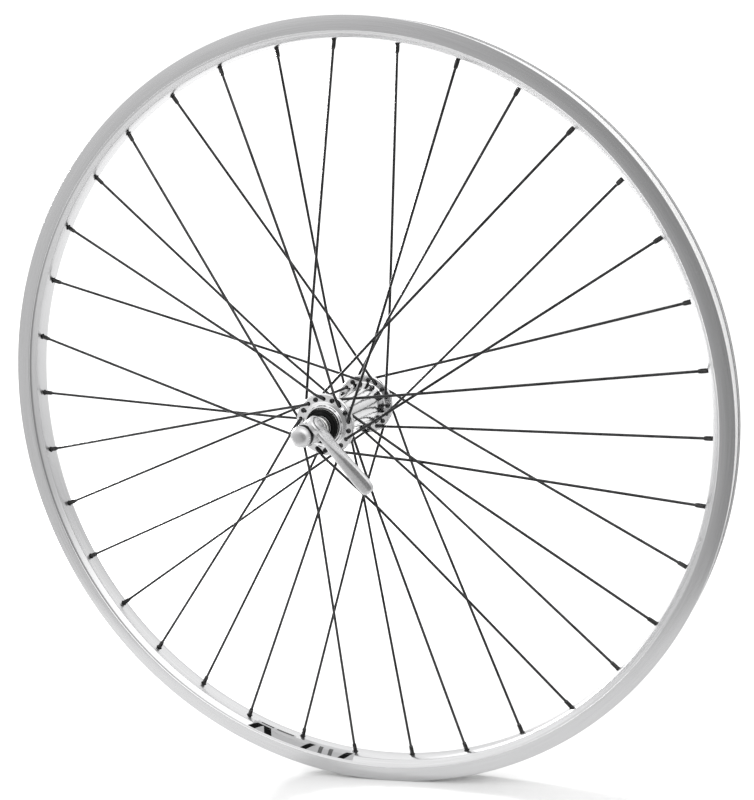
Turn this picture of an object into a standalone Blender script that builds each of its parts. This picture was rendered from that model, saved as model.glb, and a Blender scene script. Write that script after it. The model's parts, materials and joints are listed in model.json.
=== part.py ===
"""Quick-release front wheel of a bicycle, modelled for its structure and its moving parts.

Metres, +Z up. The origin is the centre of the wheel, the axle runs along Y and the cam lever
is on the -Y side. "Near" means the -Y side and "far" the +Y side.
"""

import math

import bmesh
import bpy
from mathutils import Matrix, Vector

# Driving dimensions
GAP = 0.0003                      # room between pieces that touch or are pressed together
SPOKE_COUNT = 36
CROSSINGS = 3                     # each spoke crosses three others of its flange

RIM_RADIUS = 0.285
RIM_HALF_WIDTH = 0.011
RIM_DEPTH = 0.0161                # from the outer edge to the spoke bed
BEAD_SEAT_RADIUS = 0.2795         # 559 mm bead seat diameter
RIM_WALL = 0.0016
RIM_STEPS = 72
FIRST_NIPPLE_DEG = 103.0          # angle of nipple 0, anticlockwise from +X, seen from -Y
NIPPLE_OFFSET = 0.0014            # nipples stand this far to the side of their flange
VALVE_DEG = 78.0
VALVE_HOLE_RADIUS = 0.0043

OVER_LOCKNUTS = 0.100             # width between the two fork ends
DROPOUT = 0.0063                  # room left for each fork end
AXLE_LENGTH = 0.108
AXLE_RADIUS = 0.005
FLANGE_Y = 0.036
FLANGE_THICKNESS = 0.003
FLANGE_RADIUS = 0.0228
HOLE_CIRCLE_RADIUS = 0.019
BARREL_RADIUS = 0.0148
BARREL_WAIST = 0.0132
HUB_END_Y = 0.0410
HUB_LIP_RADIUS = 0.0141
HUB_BORE = 0.0085
CUP_RADIUS = 0.0117
CUP_Y = (0.0293, 0.0378)          # the two faces of a bearing cup
CAP_RADIUS = 0.0125               # of the dust cap and of the seal
CAP_Y = (0.0383, 0.0412)
CONE_RADIUS = 0.0080
CONE_Y = (0.0322, 0.0448)
LOCKNUT_RADIUS = 0.0085
PITCH_RADIUS = 0.0084             # of the ball rings
BALL_Y = 0.0335                   # plane of each ball ring
BALL_RADIUS = 0.00238
BALL_COUNT = 9

SPOKE_RADIUS = 0.0010
SPOKE_HEAD_RADIUS = 0.0018
NIPPLE_RADIUS = 0.0019
NIPPLE_HEAD_RADIUS = 0.0029
NIPPLE_SHOWN = 0.0090             # length of nipple inside the spoke bed

ROD_RADIUS = 0.0025
CAM_Y = -0.0672                   # centre of the lever's pivot
CAM_THROW = 0.0009                # eccentricity, half of the rod's travel
HOUSING_RADIUS = 0.0079
HOUSING_END_Y = -0.0806
LEVER_DEG = 300.0                 # direction of the closed lever
LEVER_LENGTH = 0.0590
COLLAR_RADIUS = 0.0078            # of the lever, against the housing
COLLAR_THICKNESS = 0.0042
JOURNAL_RADIUS = 0.0042           # camshaft between the collar and the cam
JOURNAL_START = 0.0032
ECCENTRIC_RADIUS = 0.0027
TAIL_RADIUS = 0.0021              # camshaft beyond the cam
TAIL_END = 0.0102
CAM_CAP_RADIUS = 0.0052
EYE_RADIUS = 0.0056               # of the rod, round the cam
EYE_HALF_THICKNESS = 0.0022
ROD_END_Y = 0.0745
NUT_LENGTH = 0.0150
SPRING_WIRE = 0.0004              # radius of the wire
RECESS_RADIUS = 0.0060            # hollow of each clamp face, for the end of its spring
RECESS_DEPTH = 0.0022

SCENE = bpy.context.scene


# Scene, materials and small tools

def clear_scene():
    for obj in list(bpy.data.objects):
        bpy.data.objects.remove(obj, do_unlink=True)


def new_collection(name):
    collection = bpy.data.collections.new(name)
    SCENE.collection.children.link(collection)
    return collection


def material(name, color, roughness, metallic):
    made = bpy.data.materials.get(name)
    if made is None:
        made = bpy.data.materials.new(name)
        made.use_nodes = True
        shader = made.node_tree.nodes["Principled BSDF"]
        shader.inputs["Base Color"].default_value = (*color, 1.0)
        shader.inputs["Roughness"].default_value = roughness
        shader.inputs["Metallic"].default_value = metallic
    return made


def polished_alloy():
    return material("polished_alloy", (0.78, 0.78, 0.79), 0.25, 1.0)


def satin_alloy():
    return material("satin_alloy", (0.62, 0.62, 0.63), 0.45, 1.0)


def stainless():
    return material("stainless", (0.45, 0.45, 0.46), 0.30, 1.0)


def bearing_steel():
    return material("bearing_steel", (0.55, 0.55, 0.56), 0.2, 1.0)


def zinc_steel():
    return material("zinc_steel", (0.60, 0.60, 0.58), 0.35, 1.0)


def black_rubber():
    return material("black_rubber", (0.02, 0.02, 0.02), 0.8, 0.0)


def mesh_from_bmesh(name, shape):
    mesh = bpy.data.meshes.new(name)
    bmesh.ops.recalc_face_normals(shape, faces=shape.faces)
    shape.to_mesh(mesh)
    shape.free()
    return mesh


def add_object(name, mesh, finish, matrix=None):
    obj = bpy.data.objects.new(name, mesh)
    PARTS.objects.link(obj)
    obj.data.materials.append(finish)
    if matrix is not None:
        obj.matrix_world = matrix
    return obj


def add_cutter(name, mesh, matrix=None):
    obj = bpy.data.objects.new(name, mesh)
    CUTTERS.objects.link(obj)
    obj.hide_render = True
    obj.display_type = "WIRE"
    if matrix is not None:
        obj.matrix_world = matrix
    return obj


def shade_round(mesh, angle_deg=35):
    mesh.shade_smooth()
    mesh.set_sharp_from_angle(angle=math.radians(angle_deg))


def polar(radius, angle_deg, y=0.0):
    """A point at this angle in the plane of the wheel."""
    angle = math.radians(angle_deg)
    return Vector((radius * math.cos(angle), y, radius * math.sin(angle)))


def along(direction, at):
    """A matrix whose local Z runs along direction, from the point at."""
    return Matrix.Translation(at) @ Vector(direction).to_track_quat("Z", "Y").to_matrix().to_4x4()


AXLE_FRAME = Matrix.Rotation(math.radians(-90), 4, "X")      # local Z becomes world +Y


def turned(name, loops, steps, finish):
    """A ring or a bush about the axle. Each loop is a closed outline of (radius, y) points,
    which runs down in y on its outer side; an inner hollow's loop runs the other way."""
    mesh = bpy.data.meshes.new(name)
    points = []
    edges = []
    for loop in loops:
        start = len(points)
        points += [(radius, 0.0, y) for radius, y in loop]
        edges += [(start + i, start + (i + 1) % len(loop)) for i in range(len(loop))]
    mesh.from_pydata(points, edges, [])
    obj = add_object(name, mesh, finish, AXLE_FRAME)
    screw = obj.modifiers.new("turn", "SCREW")
    screw.axis = "Z"
    screw.steps = steps
    screw.render_steps = steps
    screw.use_merge_vertices = True
    screw.merge_threshold = 0.00001
    screw.use_smooth_shade = False
    return obj


def mirrored_outline(points):
    """The same outline on the other side of the wheel, still running the right way round."""
    return [(radius, -y) for radius, y in reversed(points)]


def both_sides(name, outline, steps, finish):
    """Two copies of a turned piece. The outline is the far one."""
    turned(name + "_far", [outline], steps, finish)
    turned(name + "_near", [mirrored_outline(outline)], steps, finish)


def cylinder_mesh(name, radius, length, sides, radius_end=None):
    """A cylinder or cone along Z, from 0 to length."""
    shape = bmesh.new()
    bmesh.ops.create_cone(
        shape,
        cap_ends=True,
        segments=sides,
        radius1=radius,
        radius2=radius if radius_end is None else radius_end,
        depth=length,
        matrix=Matrix.Translation((0, 0, length / 2)),
    )
    return mesh_from_bmesh(name, shape)


def joined_mesh(name, pieces):
    """One mesh of several closed shapes, each given with its matrix. They stay separate shapes."""
    shape = bmesh.new()
    for mesh, matrix in pieces:
        start = len(shape.verts)
        shape.from_mesh(mesh)
        shape.verts.ensure_lookup_table()
        bmesh.ops.transform(shape, matrix=matrix, verts=shape.verts[start:])
    return mesh_from_bmesh(name, shape)


def boolean(obj, other, operation):
    step = obj.modifiers.new(other.name, "BOOLEAN")
    step.operation = operation
    step.object = other
    step.solver = "EXACT"
    return step


def tube_mesh(name, points, radii, wire_radius, resolution):
    """A wire through the points, its thickness scaled at each by radii."""
    curve = bpy.data.curves.new(name, "CURVE")
    curve.dimensions = "3D"
    curve.bevel_depth = wire_radius
    curve.bevel_resolution = resolution
    curve.use_fill_caps = True
    spline = curve.splines.new("POLY")
    spline.points.add(len(points) - 1)
    for target, point, radius in zip(spline.points, points, radii):
        target.co = (*point, 1.0)
        target.radius = radius
    holder = bpy.data.objects.new(name + "_curve", curve)
    CUTTERS.objects.link(holder)
    graph = bpy.context.evaluated_depsgraph_get()
    mesh = bpy.data.meshes.new_from_object(holder.evaluated_get(graph))
    mesh.name = name
    bpy.data.objects.remove(holder, do_unlink=True)
    shape = bmesh.new()
    shape.from_mesh(mesh)
    bmesh.ops.remove_doubles(shape, verts=shape.verts, dist=0.000001)
    bmesh.ops.recalc_face_normals(shape, faces=shape.faces)
    shape.to_mesh(mesh)
    shape.free()
    mesh.materials.clear()
    return mesh


# Lacing

def nipple_deg(index):
    return FIRST_NIPPLE_DEG + index * 360 / SPOKE_COUNT


class Spoke:
    """Where one spoke runs. Spokes alternate between the flanges, and along each flange
    between those that trail outside it and those that lead inside it or the reverse."""

    def __init__(self, index):
        self.index = index
        self.side = -1 if index % 2 == 0 else 1
        sweep = CROSSINGS * 2 * 360 / SPOKE_COUNT
        turn = -1 if index % 4 in (0, 1) else 1
        self.outside = index % 4 in (0, 3)
        self.rim_deg = nipple_deg(index)
        self.hub_deg = self.rim_deg + turn * sweep
        self.hole = polar(HOLE_CIRCLE_RADIUS, self.hub_deg)
        self.seat = polar(RIM_RADIUS - RIM_DEPTH, self.rim_deg, self.side * NIPPLE_OFFSET)
        flat = Vector((self.seat.x, 0.0, self.seat.z)) - self.hole
        self.length = flat.length
        self.run = flat.normalized()
        self.crossing = self.distance_at(self.rim_deg + turn * 360 / SPOKE_COUNT)

    def distance_at(self, angle_deg):
        """How far along its run the spoke passes this angle about the axle."""
        ray = polar(1.0, angle_deg)
        along_ray = self.run.x * ray.z - self.run.z * ray.x
        return (ray.x * self.hole.z - ray.z * self.hole.x) / along_ray

    def at(self, distance, y):
        return self.hole + self.run * distance + Vector((0.0, self.side * y, 0.0))

    def levels(self):
        """Distances from the wheel's middle plane: head end, head base, shank, crossing."""
        face = FLANGE_THICKNESS / 2 + GAP
        head = 0.0012
        out = 1 if self.outside else -1
        shank = FLANGE_Y + out * (face + SPOKE_RADIUS)
        head_base = FLANGE_Y - out * face
        head_end = head_base - out * head
        # Both spokes of a pair are bent past each other where they cross last.
        share = self.crossing / self.length
        straight_out = (FLANGE_Y + face + SPOKE_RADIUS) * (1 - share) - NIPPLE_OFFSET * share
        straight_in = (FLANGE_Y - face - SPOKE_RADIUS) * (1 - share) - NIPPLE_OFFSET * share
        middle = (straight_out + straight_in) / 2
        weave = middle - out * (SPOKE_RADIUS + GAP / 2)
        return head_end, head_base, shank, weave

    def end_direction(self):
        """Unit vector of the last straight length, towards the rim."""
        return (self.seat - self.at(self.crossing, self.levels()[3])).normalized()

    def path(self):
        """Centre line points and radii, from the head in the flange to the nipple in the rim."""
        step = 0.00005
        head_end, head_base, shank, weave = self.levels()
        out = 1 if self.outside else -1
        bend = 0.0011
        clear_of_flange = 0.0078
        end = self.end_direction()
        points = [
            (self.at(0.0, head_end), SPOKE_HEAD_RADIUS),
            (self.at(0.0, head_base), SPOKE_HEAD_RADIUS),
            (self.at(0.0, head_base + out * step), SPOKE_RADIUS),
            (self.at(0.0, shank - out * bend), SPOKE_RADIUS),
            (self.at(bend, shank), SPOKE_RADIUS),
            (self.at(clear_of_flange, shank if self.outside else shank - 0.0004), SPOKE_RADIUS),
            (self.at(self.crossing, weave), SPOKE_RADIUS),
            (self.seat - end * NIPPLE_SHOWN, SPOKE_RADIUS),
            (self.seat - end * (NIPPLE_SHOWN - step), NIPPLE_RADIUS),
            (self.seat + end * (RIM_WALL + GAP), NIPPLE_RADIUS),
            (self.seat + end * (RIM_WALL + GAP + step), NIPPLE_HEAD_RADIUS),
            (self.seat + end * (RIM_WALL + 0.0030), NIPPLE_HEAD_RADIUS),
        ]
        return points


def build_spokes(spokes):
    for spoke in spokes:
        path = spoke.path()
        mesh = tube_mesh(
            f"spoke_{spoke.index:02d}",
            [point for point, _ in path],
            [radius / SPOKE_RADIUS for _, radius in path],
            SPOKE_RADIUS,
            1,
        )
        shade_round(mesh)
        add_object(mesh.name, mesh, stainless())


# Rim

def rim_section():
    """Outer outline and box chamber of the rim, as (radius, y)."""
    edge = RIM_RADIUS
    half = RIM_HALF_WIDTH
    bed = RIM_RADIUS - RIM_DEPTH
    lip = half - RIM_WALL
    well = BEAD_SEAT_RADIUS - 0.0022
    track_end = edge - 0.0107
    upper = [
        (edge, half),
        (edge, lip),
        (BEAD_SEAT_RADIUS, lip),
        (BEAD_SEAT_RADIUS, 0.0072),
        (well, 0.0055),
    ]
    lower = [
        (bed, 0.0040),
        (bed + 0.0008, 0.0068),
        (track_end - 0.0016, half - 0.0012),
        (track_end, half),
    ]
    mirror_upper = [(radius, -y) for radius, y in reversed(upper)]
    mirror_lower = [(radius, -y) for radius, y in reversed(lower)]
    outline = upper + mirror_upper + mirror_lower + lower
    chamber = [
        (well - RIM_WALL, 0.0058),
        (track_end - 0.0005, half - 0.0024),
        (bed + RIM_WALL, 0.0050),
        (bed + RIM_WALL, -0.0050),
        (track_end - 0.0005, -half + 0.0024),
        (well - RIM_WALL, -0.0058),
    ]
    return outline, chamber


def build_rim(spokes):
    outline, chamber = rim_section()
    rim = turned("rim", [outline, chamber], RIM_STEPS, satin_alloy())
    # Half a step of turn puts each spoke hole on the middle of a facet.
    first = math.radians(FIRST_NIPPLE_DEG) + math.pi / RIM_STEPS
    rim.matrix_world = AXLE_FRAME @ Matrix.Rotation(-first, 4, "Z")
    drill = cylinder_mesh("drill", NIPPLE_RADIUS + GAP, 0.0060, 8)
    pieces = [
        (drill, along(spoke.end_direction(), spoke.seat - spoke.end_direction() * 0.0030))
        for spoke in spokes
    ]
    valve = cylinder_mesh("valve", VALVE_HOLE_RADIUS, 0.030, 12)
    pieces.append((valve, along(polar(1, VALVE_DEG), polar(RIM_RADIUS - 0.025, VALVE_DEG))))
    holes = add_cutter("rim_holes", joined_mesh("rim_holes", pieces))
    boolean(rim, holes, "DIFFERENCE")
    return rim


# Hub

def build_hub_shell(spokes):
    inner = FLANGE_Y - FLANGE_THICKNESS / 2
    outer = FLANGE_Y + FLANGE_THICKNESS / 2
    cup_step = CUP_Y[0] - GAP
    cap_step = CAP_Y[0] - GAP
    cap_bore = CAP_RADIUS + 0.0004
    chamfer = 0.0003
    half = [
        (HUB_LIP_RADIUS - chamfer, HUB_END_Y),
        (cap_bore, HUB_END_Y),
        (cap_bore, cap_step),
        (CUP_RADIUS + GAP, cap_step),
        (CUP_RADIUS + GAP, cup_step),
        (HUB_BORE, cup_step),
        (HUB_BORE, 0.0),
    ]
    outside = [
        (BARREL_WAIST, 0.0),
        (BARREL_WAIST + 0.0003, 0.0130),
        (BARREL_RADIUS, 0.0250),
        (BARREL_RADIUS + 0.0012, inner - 0.0008),
        (0.0172, inner),
        (FLANGE_RADIUS - 0.0006, inner),
        (FLANGE_RADIUS, FLANGE_Y),
        (FLANGE_RADIUS - 0.0006, outer),
        (0.0166, outer),
        (HUB_LIP_RADIUS, outer + 0.0010),
        (HUB_LIP_RADIUS, HUB_END_Y - chamfer),
    ]
    top = list(reversed(outside)) + [(radius, -y) for radius, y in outside[1:]]
    bottom = [(radius, -y) for radius, y in half[:-1]] + list(reversed(half))
    hub = turned("hub_shell", [top + bottom], 32, polished_alloy())
    hole = cylinder_mesh("flange_hole", SPOKE_RADIUS + GAP, 0.006, 6)
    pieces = [
        (hole, Matrix.Translation(spoke.at(0.0, FLANGE_Y) - Vector((0, 0.003, 0))) @ AXLE_FRAME)
        for spoke in spokes
    ]
    holes = add_cutter("flange_holes", joined_mesh("flange_holes", pieces))
    boolean(hub, holes, "DIFFERENCE")
    return hub


def arc(centre_radius, centre_y, radius, start_deg, end_deg, count):
    """Points of an arc in (radius, y), 0 degrees pointing away from the axle."""
    points = []
    for i in range(count):
        angle = math.radians(start_deg + (end_deg - start_deg) * i / (count - 1))
        points.append((centre_radius + radius * math.cos(angle), centre_y + radius * math.sin(angle)))
    return points


def build_cups():
    race = arc(PITCH_RADIUS, BALL_Y, BALL_RADIUS + GAP, 30, -80, 4)
    outline = [
        (CUP_RADIUS, CUP_Y[1]),
        (CUP_RADIUS, CUP_Y[0]),
        (PITCH_RADIUS + 0.0004, CUP_Y[0]),
    ] + list(reversed(race)) + [(PITCH_RADIUS + 0.0023, CUP_Y[1])]
    both_sides("bearing_cup", outline, 20, bearing_steel())


def build_cones():
    bore = AXLE_RADIUS + GAP
    race = arc(PITCH_RADIUS, BALL_Y, BALL_RADIUS + GAP, 108, 196, 4)
    shoulder = [(CONE_RADIUS, CONE_Y[1]), (CONE_RADIUS, 0.0402), (CONE_RADIUS - 0.0006, 0.0375)]
    outline = shoulder + race + [(bore, CONE_Y[0]), (bore, CONE_Y[1])]
    both_sides("cone", outline, 20, bearing_steel())


def build_ball_ring(name, y):
    """Nine balls and the retainer that spaces them, joined into one solid."""
    section = [
        (PITCH_RADIUS + 0.0006, 0.0011),
        (PITCH_RADIUS + 0.0006, 0.0004),
        (PITCH_RADIUS - 0.0002, 0.0004),
        (PITCH_RADIUS - 0.0002, 0.0011),
    ]
    side = 1 if y > 0 else -1
    section = [(radius, y + side * level) for radius, level in section]
    if side < 0:
        section.reverse()
    ring = turned(name, [section], 27, bearing_steel())
    ball = bmesh.new()
    bmesh.ops.create_uvsphere(ball, u_segments=6, v_segments=5, radius=BALL_RADIUS)
    ball_mesh = mesh_from_bmesh("ball", ball)
    pieces = [
        (ball_mesh, Matrix.Translation(polar(PITCH_RADIUS, i * 360 / BALL_COUNT, y)))
        for i in range(BALL_COUNT)
    ]
    balls = add_cutter(name + "_balls", joined_mesh(name + "_balls", pieces))
    boolean(ring, balls, "UNION")


def build_axle():
    inner = ROD_RADIUS + GAP
    half = AXLE_LENGTH / 2
    chamfer = 0.0006
    outline = [
        (AXLE_RADIUS - chamfer, half),
        (AXLE_RADIUS, half - chamfer),
        (AXLE_RADIUS, -half + chamfer),
        (AXLE_RADIUS - chamfer, -half),
        (inner, -half),
        (inner, half),
    ]
    turned("axle", [outline], 24, zinc_steel())


def build_axle_fittings():
    bore = AXLE_RADIUS + GAP
    face = OVER_LOCKNUTS / 2
    chamfer = 0.0006
    radius = LOCKNUT_RADIUS - chamfer - 0.0001
    start = CONE_Y[1] + GAP
    end = start + 0.0009
    washer = [(radius, end), (radius, start), (bore, start), (bore, end)]
    both_sides("keyed_washer", washer, 24, zinc_steel())
    nut = [
        (radius, face),
        (LOCKNUT_RADIUS, face - chamfer),
        (LOCKNUT_RADIUS, end + GAP + chamfer),
        (LOCKNUT_RADIUS - chamfer, end + GAP),
        (bore, end + GAP),
        (bore, face),
    ]
    both_sides("locknut", nut, 24, zinc_steel())
    sheet = 0.0008
    eye = CONE_RADIUS + 0.0008
    cap = [
        (CAP_RADIUS, CAP_Y[1]),
        (CAP_RADIUS, CAP_Y[0]),
        (CAP_RADIUS - sheet, CAP_Y[0]),
        (CAP_RADIUS - sheet, CAP_Y[1] - sheet),
        (eye, CAP_Y[1] - sheet),
        (eye, CAP_Y[1]),
    ]
    both_sides("dust_cap", cap, 24, zinc_steel())
    seal_start = CAP_Y[1] + 0.0004
    seal_end = seal_start + 0.0031
    seal = [
        (CONE_RADIUS + 0.0018, seal_end),
        (CAP_RADIUS - 0.0007, seal_end - 0.0007),
        (CAP_RADIUS, seal_end - 0.0019),
        (CAP_RADIUS, seal_start),
        (CONE_RADIUS + GAP, seal_start),
        (CONE_RADIUS + GAP, seal_end),
    ]
    both_sides("rubber_seal", seal, 24, black_rubber())


# Quick release

LEVER_U = polar(1.0, LEVER_DEG)                      # along the closed lever
LEVER_C = polar(1.0, LEVER_DEG + 90.0)               # along its pivot, towards the arm's side


def cam_frame(across, y=CAM_Y):
    """Local Z along the lever's pivot, starting this far across from the axle."""
    return along(LEVER_C, LEVER_C * across + Vector((0.0, y, 0.0)))


def build_cam_housing():
    """A capped barrel on the skewer, bored across for the lever's cam."""
    clamp_y = -(OVER_LOCKNUTS / 2 + DROPOUT)
    hollow = HOUSING_RADIUS - 0.0014
    outline = [
        (HOUSING_RADIUS + 0.0009, clamp_y),
        (HOUSING_RADIUS + 0.0009, clamp_y - 0.0012),
        (HOUSING_RADIUS, clamp_y - 0.0020),
        (HOUSING_RADIUS, HOUSING_END_Y + 0.0078),
        (HOUSING_RADIUS - 0.0012, HOUSING_END_Y + 0.0070),
        (HOUSING_RADIUS - 0.0012, HOUSING_END_Y + 0.0058),
        (HOUSING_RADIUS, HOUSING_END_Y + 0.0050),
        (HOUSING_RADIUS - 0.0005, HOUSING_END_Y + 0.0022),
        (HOUSING_RADIUS - 0.0022, HOUSING_END_Y + 0.0008),
        (0.0032, HOUSING_END_Y + 0.0001),
        (0.0, HOUSING_END_Y),
        (0.0, HOUSING_END_Y + 0.0030),
        (hollow - 0.0015, HOUSING_END_Y + 0.0035),
        (hollow, HOUSING_END_Y + 0.0050),
        (hollow, clamp_y - 0.0040),
        (ROD_RADIUS + GAP, clamp_y - 0.0036),
        (ROD_RADIUS + GAP, clamp_y - RECESS_DEPTH),
        (RECESS_RADIUS, clamp_y - RECESS_DEPTH),
        (RECESS_RADIUS, clamp_y),
    ]
    housing = turned("cam_housing", [outline], 24, polished_alloy())
    reach = HOUSING_RADIUS + 0.0041
    bore = cylinder_mesh("cam_bore", JOURNAL_RADIUS + GAP, reach, 14)
    small = cylinder_mesh("cam_bore_small", TAIL_RADIUS + GAP, reach, 10)
    pieces = [(bore, cam_frame(0.0)), (small, cam_frame(-reach))]
    holes = add_cutter("cam_bores", joined_mesh("cam_bores", pieces))
    boolean(housing, holes, "DIFFERENCE")


def arm_section(station, middle, width, depth, middle_y, count=12):
    """Ring of points of a rounded section of the lever's arm, square to its length."""
    points = []
    power = 0.6
    for i in range(count):
        angle = 2 * math.pi * i / count
        x = math.copysign(abs(math.cos(angle)) ** power, math.cos(angle))
        y = math.copysign(abs(math.sin(angle)) ** power, math.sin(angle))
        points.append(
            LEVER_U * station
            + LEVER_C * (middle + x * width / 2)
            + Vector((0.0, middle_y + y * depth / 2, 0.0))
        )
    return points


def arm_mesh():
    """The arm lofts from an upright blade at its root to a flat paddle at its tip."""
    root = HOUSING_RADIUS + 0.0028
    stations = [
        # along, across, width, depth, y
        (0.0020, root, 0.0040, 0.0140, CAM_Y),
        (0.0090, root + 0.0002, 0.0044, 0.0116, CAM_Y),
        (0.0180, root - 0.0004, 0.0068, 0.0085, CAM_Y + 0.0014),
        (0.0290, root - 0.0006, 0.0092, 0.0060, CAM_Y + 0.0034),
        (0.0420, root - 0.0004, 0.0108, 0.0048, CAM_Y + 0.0052),
        (0.0530, root, 0.0112, 0.0042, CAM_Y + 0.0062),
        (LEVER_LENGTH - 0.0012, root, 0.0086, 0.0034, CAM_Y + 0.0066),
        (LEVER_LENGTH, root, 0.0050, 0.0022, CAM_Y + 0.0067),
    ]
    shape = bmesh.new()
    rings = []
    for station in stations:
        rings.append([shape.verts.new(point) for point in arm_section(*station)])
    for one, two in zip(rings, rings[1:]):
        for i in range(len(one)):
            j = (i + 1) % len(one)
            shape.faces.new((one[i], one[j], two[j], two[i]))
    shape.faces.new(rings[0])
    shape.faces.new(rings[-1])
    return mesh_from_bmesh("lever_arm", shape)


def build_cam_lever():
    """Collar, arm and camshaft in one piece. Its origin is on the pivot."""
    collar_start = HOUSING_RADIUS + 0.0006
    cam_length = 0.0074
    collar = cylinder_mesh("cam_lever", COLLAR_RADIUS, COLLAR_THICKNESS, 24)
    matrix = cam_frame(0.0)
    shape = bmesh.new()
    shape.from_mesh(collar)
    bmesh.ops.transform(shape, matrix=Matrix.Translation((0, 0, collar_start)), verts=shape.verts)
    lever = add_object("cam_lever", mesh_from_bmesh("cam_lever", shape), polished_alloy(), matrix)
    centre = Vector((0.0, CAM_Y - CAM_THROW, 0.0))
    journal = cylinder_mesh("journal", JOURNAL_RADIUS, collar_start - JOURNAL_START + 0.001, 14)
    eccentric = cylinder_mesh("eccentric", ECCENTRIC_RADIUS, cam_length, 12)
    tail = cylinder_mesh("tail", TAIL_RADIUS, TAIL_END - 0.0030, 10)
    additions = [
        ("arm", arm_mesh(), Matrix.Identity(4)),
        ("journal", journal, cam_frame(JOURNAL_START)),
        ("eccentric", eccentric, along(LEVER_C, centre - LEVER_C * cam_length / 2)),
        ("tail", tail, cam_frame(-TAIL_END)),
    ]
    for name, mesh, where in additions:
        boolean(lever, add_cutter("lever_" + name, mesh, where), "UNION")


def build_cam_cap():
    """Domed cap that holds the camshaft in, on the side away from the arm."""
    thickness = 0.0018
    cap = cylinder_mesh("cam_cap", CAM_CAP_RADIUS, thickness, 24)
    dome = cylinder_mesh("cap_dome", CAM_CAP_RADIUS, 0.0014, 24, CAM_CAP_RADIUS - thickness)
    hole = cylinder_mesh("cap_hole", TAIL_RADIUS + GAP, 0.0024, 12)
    start = -(HOUSING_RADIUS + 0.0005)
    back = LEVER_C * -1
    matrix = along(back, back * -start + Vector((0.0, CAM_Y, 0.0)))
    piece = add_object("cam_cap", cap, polished_alloy(), matrix)
    outward = Matrix.Translation((0, 0, thickness - 0.0001))
    boolean(piece, add_cutter("cam_cap_dome", dome, matrix @ outward), "UNION")
    boolean(
        piece,
        add_cutter("cam_cap_hole", hole, matrix @ Matrix.Translation((0, 0, -0.0001))),
        "DIFFERENCE",
    )


def build_skewer_rod():
    """Rod with an eye at the cam. The eye leaves room for the cam to swing across it."""
    eye_y = CAM_Y - CAM_THROW
    start = eye_y + EYE_RADIUS - 0.0010
    chamfer = 0.0005
    axis = 0.00001                # the ends are merged on the axis
    outline = [
        (axis, ROD_END_Y),
        (ROD_RADIUS - chamfer, ROD_END_Y),
        (ROD_RADIUS, ROD_END_Y - chamfer),
        (ROD_RADIUS, start),
        (axis, start),
    ]
    rod = turned("skewer_rod", [outline], 16, zinc_steel())
    rod.modifiers["turn"].merge_threshold = 5 * axis
    eye = cylinder_mesh("rod_eye", EYE_RADIUS, 2 * EYE_HALF_THICKNESS, 18)
    slot = cylinder_mesh("eye_hole", ECCENTRIC_RADIUS + 0.0014, 0.01, 14)
    place = along(LEVER_C, Vector((0.0, eye_y, 0.0)) - LEVER_C * EYE_HALF_THICKNESS)
    boolean(rod, add_cutter("rod_eye", eye, place), "UNION")
    place = along(LEVER_C, Vector((0.0, eye_y, 0.0)) - LEVER_C * 0.005)
    boolean(rod, add_cutter("rod_eye_hole", slot, place), "DIFFERENCE")


def build_adjusting_nut():
    """Conical nut with a scalloped grip, threaded on the far end of the rod."""
    clamp_y = OVER_LOCKNUTS / 2 + DROPOUT
    bore = ROD_RADIUS + GAP
    grip = 0.0078
    foot = 0.0092
    outline = [
        (grip - 0.0020, clamp_y + NUT_LENGTH),
        (grip - 0.0006, clamp_y + NUT_LENGTH - 0.0015),
        (grip, clamp_y + 0.0060),
        (foot, clamp_y + 0.0035),
        (foot, clamp_y),
        (RECESS_RADIUS, clamp_y),
        (RECESS_RADIUS, clamp_y + RECESS_DEPTH),
        (bore, clamp_y + RECESS_DEPTH),
        (bore, clamp_y + NUT_LENGTH),
    ]
    nut = turned("adjusting_nut", [outline], 24, polished_alloy())
    scallop = cylinder_mesh("scallop", 0.0042, 0.020, 12)
    count = 6
    pieces = [
        (scallop, Matrix.Translation(polar(0.0107, 30 + i * 360 / count, clamp_y + 0.0052)) @ AXLE_FRAME)
        for i in range(count)
    ]
    grips = add_cutter("nut_scallops", joined_mesh("nut_scallops", pieces))
    boolean(nut, grips, "DIFFERENCE")


def build_spring(name, side):
    """Conical spring, its small end against the axle and its large end in the clamp face."""
    turns = 3.0
    per_turn = 10
    small = ROD_RADIUS + SPRING_WIRE + 0.0005
    large = RECESS_RADIUS - SPRING_WIRE - 0.0004
    start = AXLE_LENGTH / 2 + SPRING_WIRE + GAP
    end = OVER_LOCKNUTS / 2 + DROPOUT + RECESS_DEPTH - SPRING_WIRE - GAP
    count = int(turns * per_turn) + 1
    points = []
    for i in range(count):
        share = i / (count - 1)
        radius = small + (large - small) * share
        points.append(polar(radius, share * turns * 360, side * (start + (end - start) * share)))
    mesh = tube_mesh(name, points, [1.0] * count, SPRING_WIRE, 2)
    shade_round(mesh)
    add_object(name, mesh, stainless())


def main():
    spokes = [Spoke(index) for index in range(SPOKE_COUNT)]
    build_rim(spokes)
    build_spokes(spokes)
    build_hub_shell(spokes)
    build_cups()
    build_cones()
    build_ball_ring("ball_ring_far", BALL_Y)
    build_ball_ring("ball_ring_near", -BALL_Y)
    build_axle()
    build_axle_fittings()
    build_cam_housing()
    build_cam_lever()
    build_cam_cap()
    build_skewer_rod()
    build_adjusting_nut()
    build_spring("spring_near", -1)
    build_spring("spring_far", 1)


clear_scene()
PARTS = new_collection("quick_release_front_wheel")
CUTTERS = new_collection("cutters")
main()
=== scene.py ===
"""Looks of a quick-release front bicycle wheel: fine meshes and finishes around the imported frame.

Metres, +Z up. The axle runs along Y through the origin and the cam lever is on the -Y side.
"Near" means the -Y side and "far" the +Y side. Every mesh is made in place, about the origin.
"""

import sys

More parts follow.
